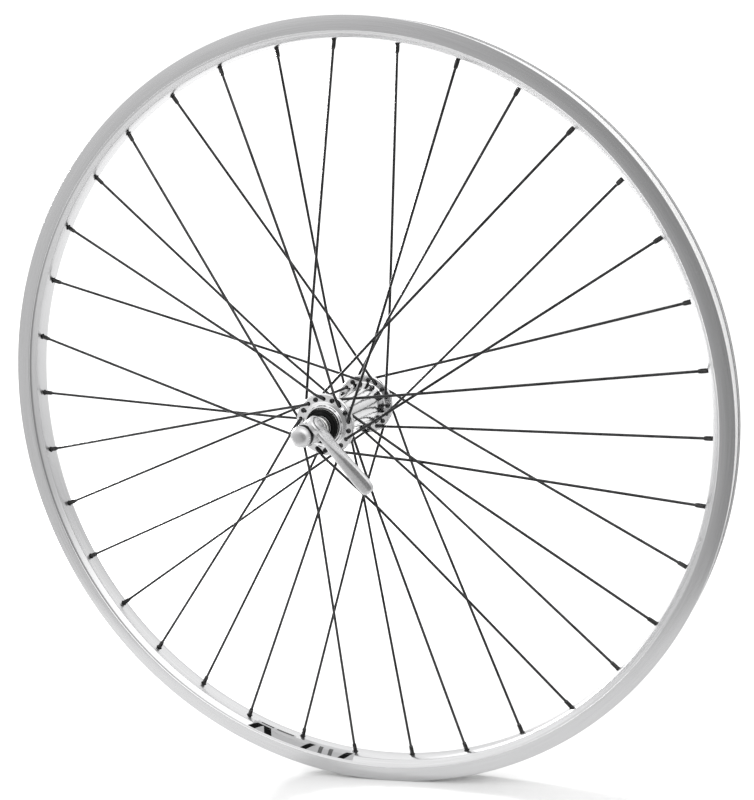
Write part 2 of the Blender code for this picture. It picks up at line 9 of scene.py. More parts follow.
import json
import logging
import math
from dataclasses import dataclass, field
from enum import Enum
from typing import Iterable, Sequence

import bmesh
import bpy
from mathutils import Matrix, Vector

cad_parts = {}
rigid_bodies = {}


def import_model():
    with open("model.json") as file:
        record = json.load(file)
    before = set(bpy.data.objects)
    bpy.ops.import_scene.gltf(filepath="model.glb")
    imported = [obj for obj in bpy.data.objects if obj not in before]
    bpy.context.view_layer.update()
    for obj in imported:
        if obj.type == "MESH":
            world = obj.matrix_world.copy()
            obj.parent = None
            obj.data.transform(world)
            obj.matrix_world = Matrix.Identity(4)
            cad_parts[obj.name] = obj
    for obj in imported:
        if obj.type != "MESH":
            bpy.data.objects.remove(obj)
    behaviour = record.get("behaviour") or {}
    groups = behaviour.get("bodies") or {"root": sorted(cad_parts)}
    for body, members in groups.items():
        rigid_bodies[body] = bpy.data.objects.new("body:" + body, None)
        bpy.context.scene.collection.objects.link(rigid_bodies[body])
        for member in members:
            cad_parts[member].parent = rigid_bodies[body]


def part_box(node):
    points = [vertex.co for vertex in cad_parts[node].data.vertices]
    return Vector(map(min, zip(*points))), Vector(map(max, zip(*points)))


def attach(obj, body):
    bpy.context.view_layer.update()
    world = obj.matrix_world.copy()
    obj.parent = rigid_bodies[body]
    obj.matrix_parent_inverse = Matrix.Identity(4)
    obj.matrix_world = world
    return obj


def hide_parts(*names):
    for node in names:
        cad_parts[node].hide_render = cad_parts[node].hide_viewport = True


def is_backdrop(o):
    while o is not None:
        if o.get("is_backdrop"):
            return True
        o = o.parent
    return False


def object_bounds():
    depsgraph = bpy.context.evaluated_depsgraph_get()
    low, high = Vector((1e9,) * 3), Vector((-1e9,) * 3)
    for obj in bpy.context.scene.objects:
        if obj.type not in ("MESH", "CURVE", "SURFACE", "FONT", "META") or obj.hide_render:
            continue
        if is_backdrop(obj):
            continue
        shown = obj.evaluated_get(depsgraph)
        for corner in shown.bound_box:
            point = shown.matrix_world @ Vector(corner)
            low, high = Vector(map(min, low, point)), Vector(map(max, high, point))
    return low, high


LOG = logging.getLogger("wheel")
BUMP_HEIGHT = 0.0002      # height of the fine relief that materials add
SHARP_BEND = 30.0         # edges bent more than this many degrees stay sharp
ON_AXLE = 1e-7            # a smaller radius is a point on the axle
THREAD_LEVELS = 6         # rings in one turn of a thread

Outline = list[tuple[float, float]]
Ring = list[Vector]

ALONG_Y = Matrix.Rotation(math.radians(-90), 4, "X")      # local Z becomes world +Y


class Side(Enum):
    """The two ends of the axle, by the sign of their Y."""

    NEAR = -1
    FAR = 1

    @property
    def word(self) -> str:
        """The end's name as it stands in node names."""
        return self.name.lower()


class Grain(Enum):
    """How a metal surface was worked, which sets the way its fine lines run."""

    TURNED = "turned"
    DRAWN = "drawn"
    CAST = "cast"


# Points and outlines

def polar(radius: float, degrees: float, y: float = 0.0) -> Vector:
    """A point at this angle in the plane of the wheel, anticlockwise from +X seen from -Y."""
    angle = math.radians(degrees)
    return Vector((radius * math.cos(angle), y, radius * math.sin(angle)))


def along(direction: Vector, at: Vector) -> Matrix:
    """A matrix whose local Z runs along direction, from the point at."""
    turn = Vector(direction).to_track_quat("Z", "Y").to_matrix().to_4x4()
    return Matrix.Translation(at) @ turn


def arc(centre: tuple[float, float], radius: float, first: float, last: float, count: int) -> Outline:
    """Points of an arc in (radius, y).

    Args:
        centre: Middle of the arc.
        radius: Radius of the arc.
        first: Angle of the first point in degrees, 0 pointing away from the axle.
        last: Angle of the last point.
        count: How many points.

    Returns:
        The points in order.
    """
    points = []
    for step in range(count):
        angle = math.radians(first + (last - first) * step / (count - 1))
        points.append((centre[0] + radius * math.cos(angle), centre[1] + radius * math.sin(angle)))
    return points


def eased(outline: Outline, radius: float, pieces: int = 4) -> Outline:
    """A closed outline with each corner rounded.

    Args:
        outline: Corners of the outline.
        radius: Rounding, made smaller where two corners are close.
        pieces: Straight pieces in each rounding.

    Returns:
        The rounded outline.
    """
    made = []
    for index, corner in enumerate(outline):
        here = Vector(corner)
        before = Vector(outline[index - 1])
        after = Vector(outline[(index + 1) % len(outline)])
        room = min(radius, (before - here).length * 0.45, (after - here).length * 0.45)
        start = here + (before - here).normalized() * room
        end = here + (after - here).normalized() * room
        for step in range(pieces + 1):
            share = step / pieces
            point = start.lerp(here, share).lerp(here.lerp(end, share), share)
            made.append((point.x, point.y))
    return made


def mirrored(outline: Outline, side: Side) -> Outline:
    """The outline of a far piece, moved to the given side."""
    return [(radius, y * side.value) for radius, y in outline]


def smooth_steps(values: Sequence[Sequence[float]], pieces: int) -> list[list[float]]:
    """Rows of numbers read from a smooth curve through the given rows.

    Args:
        values: The rows that the curve passes through.
        pieces: Steps between two rows.

    Returns:
        The finer rows, with the first and the last as given.
    """
    rows = []
    last = len(values) - 1
    for index in range(last):
        four = [values[max(index - 1, 0)], values[index], values[index + 1], values[min(index + 2, last)]]
        for step in range(pieces):
            t = step / pieces
            row = []
            for a, b, c, d in zip(*four):
                slope_in = (c - a) / 2
                slope_out = (d - b) / 2
                row.append(
                    (2 * t**3 - 3 * t**2 + 1) * b
                    + (t**3 - 2 * t**2 + t) * slope_in
                    + (3 * t**2 - 2 * t**3) * c
                    + (t**3 - t**2) * slope_out
                )
            rows.append(row)
    rows.append(list(values[last]))
    return rows


# Meshes

def finished_mesh(name: str, shape: bmesh.types.BMesh, sharp: float = SHARP_BEND) -> bpy.types.Mesh:
    """A smooth-shaded mesh of the shape, which is used up.

    Args:
        name: Name of the mesh.
        shape: The shape.
        sharp: Edges bent more than this many degrees stay sharp.

    Returns:
        The mesh.
    """
    mesh = bpy.data.meshes.new(name)
    bmesh.ops.recalc_face_normals(shape, faces=shape.faces)
    shape.to_mesh(mesh)
    shape.free()
    mesh.shade_smooth()
    mesh.set_sharp_from_angle(angle=math.radians(sharp))
    return mesh


def bridge(shape: bmesh.types.BMesh, one: list, two: list, closed: bool = True) -> None:
    """Faces between two rows of vertices, either of which may be a single vertex."""
    count = max(len(one), len(two))
    for index in range(count if closed else count - 1):
        after = (index + 1) % count
        if len(one) == 1:
            shape.faces.new((one[0], two[after], two[index]))
        elif len(two) == 1:
            shape.faces.new((one[index], one[after], two[0]))
        else:
            shape.faces.new((one[index], one[after], two[after], two[index]))


def turned_shape(outlines: Iterable[Outline], steps: int) -> bmesh.types.BMesh:
    """A body of revolution about the axle.

    Args:
        outlines: Closed outlines in (radius, y). One that starts and ends on the axle is left open there.
        steps: Facets round the axle.

    Returns:
        The shape.
    """
    shape = bmesh.new()
    for outline in outlines:
        rings = []
        for radius, y in outline:
            if radius < ON_AXLE:
                rings.append([shape.verts.new((0.0, y, 0.0))])
                continue
            rings.append([shape.verts.new(polar(radius, 360 * step / steps, y)) for step in range(steps)])
        open_ended = len(rings[0]) == 1 and len(rings[-1]) == 1
        pairs = zip(rings, rings[1:] if open_ended else rings[1:] + rings[:1])
        for one, two in pairs:
            bridge(shape, one, two)
    return shape


def lofted_shape(rings: Sequence[Ring]) -> bmesh.types.BMesh:
    """A closed body through rings of equally many points, capped at both ends."""
    shape = bmesh.new()
    rows = [[shape.verts.new(point) for point in ring] for ring in rings]
    for one, two in zip(rows, rows[1:]):
        bridge(shape, one, two)
    shape.faces.new(rows[0])
    shape.faces.new(rows[-1])
    return shape


def swept_rings(path: Sequence[Vector], radii: Sequence[float], sides: int) -> list[Ring]:
    """Round sections along a path, carried from point to point without twisting.

    Args:
        path: Centre line.
        radii: Radius at each of its points.
        sides: Points in each section.

    Returns:
        One ring of points for each point of the path.
    """
    rings = []
    normal = None
    for index, point in enumerate(path):
        before = path[max(index - 1, 0)]
        after = path[min(index + 1, len(path) - 1)]
        tangent = (after - before).normalized()
        if normal is None:
            normal = tangent.orthogonal().normalized()
        normal = (normal - tangent * normal.dot(tangent)).normalized()
        other = tangent.cross(normal)
        ring = []
        for step in range(sides):
            angle = 2 * math.pi * step / sides
            ring.append(point + (normal * math.cos(angle) + other * math.sin(angle)) * radii[index])
        rings.append(ring)
    return rings


def threaded_shape(
    core: float, crest: float, pitch: float, bottom: float, top: float, sides: int = 40
) -> bmesh.types.BMesh:
    """A rod about the axle with a V thread.

    Args:
        core: Radius at the root of the thread.
        crest: Radius at its crest.
        pitch: Advance in one turn.
        bottom: Lowest y.
        top: Highest y.
        sides: Facets round the rod.

    Returns:
        The shape, with flat ends.
    """
    rings = []
    count = int((top - bottom) / pitch * THREAD_LEVELS)
    for row in range(count + 1):
        y = bottom + (top - bottom) * row / count
        ring = []
        for step in range(sides):
            phase = (y / pitch - step / sides) % 1.0
            height = 1.0 - abs(2.0 * phase - 1.0)
            fade = min(1.0, (y - bottom) / pitch, (top - y) / pitch)
            ring.append(polar(core + (crest - core) * height * fade, 360 * step / sides, y))
        rings.append(ring)
    return lofted_shape(rings)


def merged(shapes: Sequence[bmesh.types.BMesh]) -> bmesh.types.BMesh:
    """One shape of several, which stay separate bodies. The others are used up."""
    whole = shapes[0]
    for other in shapes[1:]:
        mesh = bpy.data.meshes.new("merge")
        other.to_mesh(mesh)
        other.free()
        whole.from_mesh(mesh)
        bpy.data.meshes.remove(mesh)
    return whole


def new_object(name: str, mesh: bpy.types.Mesh) -> bpy.types.Object:
    """An object of the mesh, in the scene."""
    obj = bpy.data.objects.new(name, mesh)
    bpy.context.scene.collection.objects.link(obj)
    return obj


def cut(mesh: bpy.types.Mesh, tools: bmesh.types.BMesh, operation: str = "DIFFERENCE") -> bpy.types.Mesh:
    """The mesh after a Boolean with the tools, which are used up.

    Args:
        mesh: The mesh to cut or add to.
        tools: Closed shapes.
        operation: DIFFERENCE or UNION.

    Returns:
        The new mesh, shaded as the old one.
    """
    name = mesh.name
    body = new_object("blank", mesh)
    cutter = new_object("tools", finished_mesh("tools", tools))
    step = body.modifiers.new("cut", "BOOLEAN")
    step.operation = operation
    step.solver = "MANIFOLD"
    step.object = cutter
    graph = bpy.context.evaluated_depsgraph_get()
    made = bpy.data.meshes.new_from_object(body.evaluated_get(graph))
    for obj in (body, cutter):
        bpy.data.objects.remove(obj)
    made.name = name
    made.shade_smooth()
    made.set_sharp_from_angle(angle=math.radians(SHARP_BEND))
    return made


# Shader building

class Nodes:
    """Places nodes in a tree and joins them, so that a material reads as a list of steps."""

    def __init__(self, tree: bpy.types.NodeTree) -> None:
        """Starts with the tree empty."""
        tree.nodes.clear()
        self.tree = tree

    def add(self, kind: str, **settings: object) -> bpy.types.Node:
        """A new node with these properties set."""
        node = self.tree.nodes.new(kind)
        for name, value in settings.items():
            setattr(node, name, value)
        return node

    def join(self, output: bpy.types.NodeSocket, socket: bpy.types.NodeSocket) -> None:
        """Joins an output to an input."""
        self.tree.links.new(output, socket)

    def feed(self, socket: bpy.types.NodeSocket, value: object) -> None:
        """Sets an input to a number, a colour or another node's output."""
        if isinstance(value, bpy.types.NodeSocket):
            self.join(value, socket)
        else:
            socket.default_value = value

    def place(self) -> bpy.types.NodeSocket:
        """The object's own coordinates."""
        return self.add("ShaderNodeTexCoord").outputs["Object"]

    def separate(self, vector: bpy.types.NodeSocket) -> list[bpy.types.NodeSocket]:
        """The x, y and z of a vector."""
        parts = self.add("ShaderNodeSeparateXYZ")
        self.join(vector, parts.inputs[0])
        return list(parts.outputs)

    def surface(self) -> bpy.types.Node:
        """A Principled shader joined to the material's output."""
        shader = self.add("ShaderNodeBsdfPrincipled")
        output = self.add("ShaderNodeOutputMaterial")
        self.join(shader.outputs[0], output.inputs["Surface"])
        return shader

    def relief(self, shader: bpy.types.Node, height: bpy.types.NodeSocket, strength: float) -> None:
        """Joins a height to a shader's Normal by a Bump node."""
        bump = self.add("ShaderNodeBump")
        bump.inputs["Strength"].default_value = strength
        bump.inputs["Distance"].default_value = BUMP_HEIGHT
        self.join(height, bump.inputs["Height"])
        self.join(bump.outputs[0], shader.inputs["Normal"])

    def math(self, operation: str, one: object, two: object = 0.0) -> bpy.types.NodeSocket:
        """The result of a Math node on numbers or outputs."""
        node = self.add("ShaderNodeMath", operation=operation)
        self.feed(node.inputs[0], one)
        self.feed(node.inputs[1], two)
        return node.outputs[0]

    def ranged(
        self, value: object, low: float, high: float, to_low: float, to_high: float
    ) -> bpy.types.NodeSocket:
        """A value taken smoothly from one range to another, and held inside it."""
        node = self.add("ShaderNodeMapRange", interpolation_type="SMOOTHSTEP")
        self.feed(node.inputs["Value"], value)
        for name, number in (("From Min", low), ("From Max", high), ("To Min", to_low), ("To Max", to_high)):
            node.inputs[name].default_value = number
        return node.outputs["Result"]

    def mix(self, share: object, one: object, two: object) -> bpy.types.NodeSocket:
        """Two colours mixed."""
        node = self.add("ShaderNodeMix", data_type="RGBA")
        self.feed(node.inputs[0], share)
        self.feed(node.inputs[6], one)
        self.feed(node.inputs[7], two)
        return node.outputs[2]

    def noise(self, vector: object, scale: object, detail: float = 3.0) -> bpy.types.NodeSocket:
        """The value of a noise texture."""
        node = self.add("ShaderNodeTexNoise")
        if vector is not None:
            self.join(vector, node.inputs["Vector"])
        self.feed(node.inputs["Scale"], scale)
        node.inputs["Detail"].default_value = detail
        return node.outputs["Fac"]


def grey(level: float) -> tuple[float, float, float, float]:
    """An even grey as a colour."""
    return (level, level, level, 1.0)


def group_node(nodes: Nodes, name: str, **values: object) -> bpy.types.Node:
    """Places a node group in a tree and sets its inputs."""
    node = nodes.add("ShaderNodeGroup", node_tree=bpy.data.node_groups[name])
    for key, value in values.items():
        nodes.feed(node.inputs[key.replace("_", " ").title()], value)
    return node


def new_group(name: str, inputs: dict[str, float], outputs: Sequence[str]) -> Nodes:
    """An empty shader node group with number sockets.

    Args:
        name: Name of the group.
        inputs: Input names with their first values.
        outputs: Output names.

    Returns:
        The tools to fill the group with.
    """
    tree = bpy.data.node_groups.new(name, "ShaderNodeTree")
    nodes = Nodes(tree)
    for key, value in inputs.items():
        socket = tree.interface.new_socket(key, in_out="INPUT", socket_type="NodeSocketFloat")
        socket.default_value = value
    for key in outputs:
        tree.interface.new_socket(key, in_out="OUTPUT", socket_type="NodeSocketFloat")
    return nodes


def build_worked_grain() -> None:
    """Group of fine tool grain. Turned lines run round the axle, and other finishes get an even fine noise.
    """
    nodes = new_group("worked_grain", {"Scale": 1.0, "Turned": 1.0}, ("Height", "Tone"))
    start = nodes.add("NodeGroupInput")
    end = nodes.add("NodeGroupOutput")
    place = nodes.place()
    x, y, z = nodes.separate(place)
    reach = nodes.math("SQRT", nodes.math("ADD", nodes.math("MULTIPLY", x, x), nodes.math("MULTIPLY", z, z)))
    angle = nodes.math("ARCTAN2", z, x)
    ring = nodes.add("ShaderNodeCombineXYZ")
    for socket, value in zip(ring.inputs, (reach, y, nodes.math("MULTIPLY", angle, 0.004))):
        nodes.feed(socket, value)
    lines = nodes.noise(ring.outputs[0], nodes.math("MULTIPLY", start.outputs["Scale"], 4200.0), 2.0)
    plain = nodes.noise(place, nodes.math("MULTIPLY", start.outputs["Scale"], 1600.0), 3.0)
    turned = start.outputs["Turned"]
    height = nodes.math(
        "ADD",
        nodes.math("MULTIPLY", lines, turned),
        nodes.math("MULTIPLY", plain, nodes.math("SUBTRACT", 1.0, turned)),
    )
    nodes.join(height, end.inputs["Height"])
    nodes.join(nodes.ranged(height, 0.35, 0.65, 0.0, 1.0), end.inputs["Tone"])


def build_handling_marks() -> None:
    """Group of smudges and hairline scratches left by hands and tools."""
    nodes = new_group("handling_marks", {"Size": 60.0, "Amount": 0.5}, ("Smudge", "Scratch"))
    start = nodes.add("NodeGroupInput")
    end = nodes.add("NodeGroupOutput")
    place = nodes.place()
    cloud = nodes.noise(place, start.outputs["Size"], 5.0)
    smudge = nodes.math("MULTIPLY", nodes.ranged(cloud, 0.45, 0.70, 0.0, 1.0), start.outputs["Amount"])
    nodes.join(smudge, end.inputs["Smudge"])
    stretch = nodes.add("ShaderNodeMapping")
    nodes.join(place, stretch.inputs["Vector"])
    stretch.inputs["Rotation"].default_value = (0.5, 0.3, 0.9)
    stretch.inputs["Scale"].default_value = (1.0, 14.0, 40.0)
    streak = nodes.noise(stretch.outputs[0], nodes.math("MULTIPLY", start.outputs["Size"], 1.6), 2.0)
    scratch = nodes.math("MULTIPLY", nodes.ranged(streak, 0.68, 0.74, 0.0, 1.0), start.outputs["Amount"])
    nodes.join(scratch, end.inputs["Scratch"])


def build_edge_wear() -> None:
    """Group that marks worn outer edges and the dirt in hollows."""
    nodes = new_group("edge_wear", {"Spread": 0.03, "Breakup": 220.0}, ("Edge", "Hollow"))
    start = nodes.add("NodeGroupInput")
    end = nodes.add("NodeGroupOutput")
    place = nodes.place()
    point = nodes.add("ShaderNodeNewGeometry").outputs["Pointiness"]
    patches = nodes.noise(place, start.outputs["Breakup"], 4.0)
    lift = nodes.math("DIVIDE", nodes.math("SUBTRACT", point, 0.5), start.outputs["Spread"])
    broken = nodes.ranged(patches, 0.3, 0.6, 0.2, 1.0)
    nodes.join(nodes.math("MULTIPLY", nodes.ranged(lift, 0.3, 1.5, 0.0, 1.0), broken), end.inputs["Edge"])
    nodes.join(nodes.ranged(lift, -0.4, -1.8, 0.0, 1.0), end.inputs["Hollow"])


@dataclass(frozen=True)
class Metal:
    """A metal finish: its tone, its gloss and the marks of how it was made."""

    name: str
    slot: str
    tone: tuple[float, float, float]
    roughness: float
    grain: Grain = Grain.CAST
    grain_scale: float = 1.0
    grain_depth: float = 0.06
    tone_change: float = 0.08
    gloss_change: float = 0.08
    marks: float = 0.4
    grime: float = 0.5
    wear: float = 0.6

    def material(self) -> bpy.types.Material:
        """The finish as a material, made once."""
        made = bpy.data.materials.get(self.name)
        if made is not None:
            return made
        made = bpy.data.materials.new(self.name)
        made.use_nodes = True
        nodes = Nodes(made.node_tree)
        shader = nodes.surface()
        turned = 1.0 if self.grain is Grain.TURNED else 0.0
        grain = group_node(nodes, "worked_grain", scale=self.grain_scale, turned=turned)
        marks = group_node(nodes, "handling_marks", amount=self.marks)
        wear = group_node(nodes, "edge_wear")
        low = (*[value * (1 - self.tone_change) for value in self.tone], 1.0)
        high = (*[min(value * (1 + self.tone_change), 1.0) for value in self.tone], 1.0)
        bright = (*[min(value * 1.25 + 0.05, 0.95) for value in self.tone], 1.0)
        dull = (*[value * 0.35 for value in self.tone], 1.0)
        color = nodes.mix(grain.outputs["Tone"], low, high)
        color = nodes.mix(nodes.math("MULTIPLY", wear.outputs["Edge"], self.wear), color, bright)
        hollow = nodes.math("MULTIPLY", wear.outputs["Hollow"], self.grime)
        color = nodes.mix(hollow, color, dull)
        nodes.join(color, shader.inputs["Base Color"])
        rough = nodes.math("MULTIPLY", grain.outputs["Tone"], self.gloss_change * 0.5)
        rough = nodes.math("ADD", rough, self.roughness - self.gloss_change * 0.25)
        rough = nodes.math("ADD", rough, nodes.math("MULTIPLY", marks.outputs["Smudge"], self.gloss_change))
        rough = nodes.math("ADD", rough, nodes.math("MULTIPLY", marks.outputs["Scratch"], 0.10))
        nodes.join(rough, shader.inputs["Roughness"])
        shader.inputs["Metallic"].default_value = 1.0
        scratch = nodes.math("MULTIPLY", marks.outputs["Scratch"], 0.6)
        height = nodes.math("SUBTRACT", grain.outputs["Height"], scratch)
        nodes.relief(shader, height, self.grain_depth)
        return made


@dataclass(frozen=True)
class Plain:
    """A finish that isn't metal: rubber, nylon, printed film or a black painted shade."""

    name: str
    slot: str
    tone: tuple[float, float, float]
    roughness: float
    pores: float = 900.0
    depth: float = 0.15
    dust: float = 0.15
    specular: float = 0.35

    def material(self) -> bpy.types.Material:
        """The finish as a material, made once."""
        made = bpy.data.materials.get(self.name)
        if made is not None:
            return made
        made = bpy.data.materials.new(self.name)
        made.use_nodes = True
        nodes = Nodes(made.node_tree)
        shader = nodes.surface()
        marks = group_node(nodes, "handling_marks", size=140.0, amount=1.0)
        wear = group_node(nodes, "edge_wear")
        base = (*self.tone, 1.0)
        dusty = (*[value + (0.45 - value) * self.dust for value in self.tone], 1.0)
        color = nodes.mix(marks.outputs["Smudge"], base, dusty)
        color = nodes.mix(nodes.math("MULTIPLY", wear.outputs["Edge"], 0.5), color, dusty)
        nodes.join(color, shader.inputs["Base Color"])
        rough = nodes.math("ADD", nodes.math("MULTIPLY", marks.outputs["Smudge"], 0.15), self.roughness)
        nodes.join(rough, shader.inputs["Roughness"])
        shader.inputs["Specular IOR Level"].default_value = self.specular
        nodes.relief(shader, nodes.noise(nodes.place(), self.pores, 4.0), self.depth)
        return made


Finish = Metal | Plain

RIM_ALLOY = Metal(
    "rim_satin_anodised",
    "rim_alloy",
    tone=(0.53, 0.53, 0.535),
    roughness=0.26,
    grain=Grain.TURNED,
    grain_scale=0.35,
    grain_depth=0.006,
    tone_change=0.03,
    gloss_change=0.03,
    marks=0.0,
    grime=0.0,
    wear=0.0,
)
# Painted light: a near-white copy of the rim alloy for the tyre channel, which brightens the well where it
# lies in shade.
CHANNEL_PAINTED_LIGHT = Metal(
    "rim_etched_channel",
    "rim_alloy",
    tone=(0.93, 0.93, 0.93),
    roughness=0.55,
    grain=Grain.TURNED,
    grain_scale=0.35,
    grain_depth=0.02,
    tone_change=0.03,
    gloss_change=0.06,
    marks=0.0,
    grime=0.0,
    wear=0.0,
)
HUB_ALLOY = Metal(
    "hub_polished_alloy",
    "hub_alloy",
    tone=(0.66, 0.66, 0.665),
    roughness=0.13,
    grain=Grain.TURNED,
    grain_depth=0.03,
    tone_change=0.05,
)
LEVER_ALLOY = Metal(
    "lever_bright_alloy",
    "lever_alloy",
    tone=(0.50, 0.50, 0.505),
    roughness=0.22,
    grain_scale=0.5,
    tone_change=0.06,
    gloss_change=0.10,
)
HOUSING_ALLOY = Metal(
    "housing_bright_alloy",
    "lever_alloy",
    tone=(0.48, 0.48, 0.485),
    roughness=0.34,
    grain=Grain.TURNED,
    grain_scale=1.2,
    grain_depth=0.04,
    tone_change=0.05,
)
SPOKE_STEEL = Metal(
    "spoke_drawn_stainless",
    "spoke_steel",
    tone=(0.020, 0.020, 0.021),
    roughness=0.30,
    grain=Grain.DRAWN,
    grain_depth=0.05,
    tone_change=0.15,
    gloss_change=0.10,
    marks=0.3,
    grime=0.0,
)
NIPPLE_NICKEL = Metal(
    "nipple_nickel",
    "spoke_steel",
    tone=(0.03, 0.03, 0.03),
    roughness=0.22,
    grain_depth=0.05,
    tone_change=0.10,
    gloss_change=0.10,
)
BEARING_STEEL = Metal(
    "bearing_ground_steel",
    "bearing_steel",
    tone=(0.55, 0.55, 0.56),
    roughness=0.12,
    grain=Grain.TURNED,
    grain_scale=1.4,
    grain_depth=0.03,
)
BALL_STEEL = Metal(
    "ball_polished_steel",
    "bearing_steel",
    tone=(0.62, 0.62, 0.63),
    roughness=0.05,
    grain_depth=0.01,
    tone_change=0.02,
    gloss_change=0.02,
)
ZINC_PLATE = Metal(
    "zinc_plated_steel",
    "zinc_steel",
    tone=(0.50, 0.50, 0.49),
    roughness=0.28,
    grain=Grain.TURNED,
    tone_change=0.10,
    gloss_change=0.12,
)
SPRING_STEEL = Metal(
    "spring_wire_steel",
    "spring_steel",
    tone=(0.42, 0.42, 0.42),
    roughness=0.25,
    grain=Grain.DRAWN,
    grain_depth=0.05,
)
SEAL_RUBBER = Plain(
    "seal_black_rubber",
    "black_rubber",
    tone=(0.006, 0.006, 0.006),
    roughness=0.50,
    depth=0.12,
    dust=0.02,
    specular=0.05,
)
# Painted shade: a black finish laid in the cam housing's groove, standing in for the dark gap between the cap
# and the lever.
GROOVE_SHADE_BLACK = Plain(
    "ring_black_plastic",
    "lever_alloy",
    tone=(0.004, 0.004, 0.004),
    roughness=0.45,
    depth=0.05,
    dust=0.01,
    specular=0.10,
)
NUT_NYLON = Plain(
    "lock_ring_nylon",
    "black_rubber",
    tone=(0.05, 0.05, 0.055),
    roughness=0.45,
    pores=500.0,
    depth=0.08,
)
LABEL_FILM = Plain(
    "label_grey_film",
    "rim_alloy",
    tone=(0.34, 0.34, 0.345),
    roughness=0.45,
    pores=1500.0,
    depth=0.03,
    dust=0.1,
    specular=0.2,
)
LABEL_GREY = Plain(
    "label_grey_ink",
    "rim_alloy",
    tone=(0.09, 0.09, 0.09),
    roughness=0.6,
    pores=1500.0,
    depth=0.03,
    dust=0.0,
    specular=0.10,
)
LABEL_INK = Plain(
    "label_black_ink",
    "rim_alloy",
    tone=(0.003, 0.003, 0.003),
    roughness=0.6,
    pores=1500.0,
    depth=0.03,
    dust=0.0,
    specular=0.05,
)


@dataclass
class Assembly:
    """Common work of every sub-assembly: it dresses pieces, mounts them on bodies and counts them."""

    pieces: list[str] = field(default_factory=list, init=False)

    def place(
        self, name: str, mesh: bpy.types.Mesh, finish: Finish, body: str, *nodes: str
    ) -> bpy.types.Object:
        """Makes a piece of a mesh.

        Args:
            name: Name of the piece.
            mesh: Its mesh, in place.
            finish: Its finish.
            body: The body that it rides on.
            *nodes: The frame's nodes that it stands for.

        Returns:
            The piece.
        """
        mesh.name = name
        mesh.materials.clear()
        mesh.materials.append(finish.material())
        piece = new_object(name, mesh)
        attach(piece, body)
        if nodes:
            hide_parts(*nodes)
        self.pieces.append(name)
        LOG.info("piece %s: %d faces", name, len(mesh.polygons))
        return piece

    def turned(
        self, name: str, outline: Outline, steps: int, finish: Finish, body: str, *nodes: str
    ) -> bpy.types.Object:
        """A turned piece of one outline."""
        mesh = finished_mesh(name, turned_shape([outline], steps))
        return self.place(name, mesh, finish, body, *nodes)


# Rim

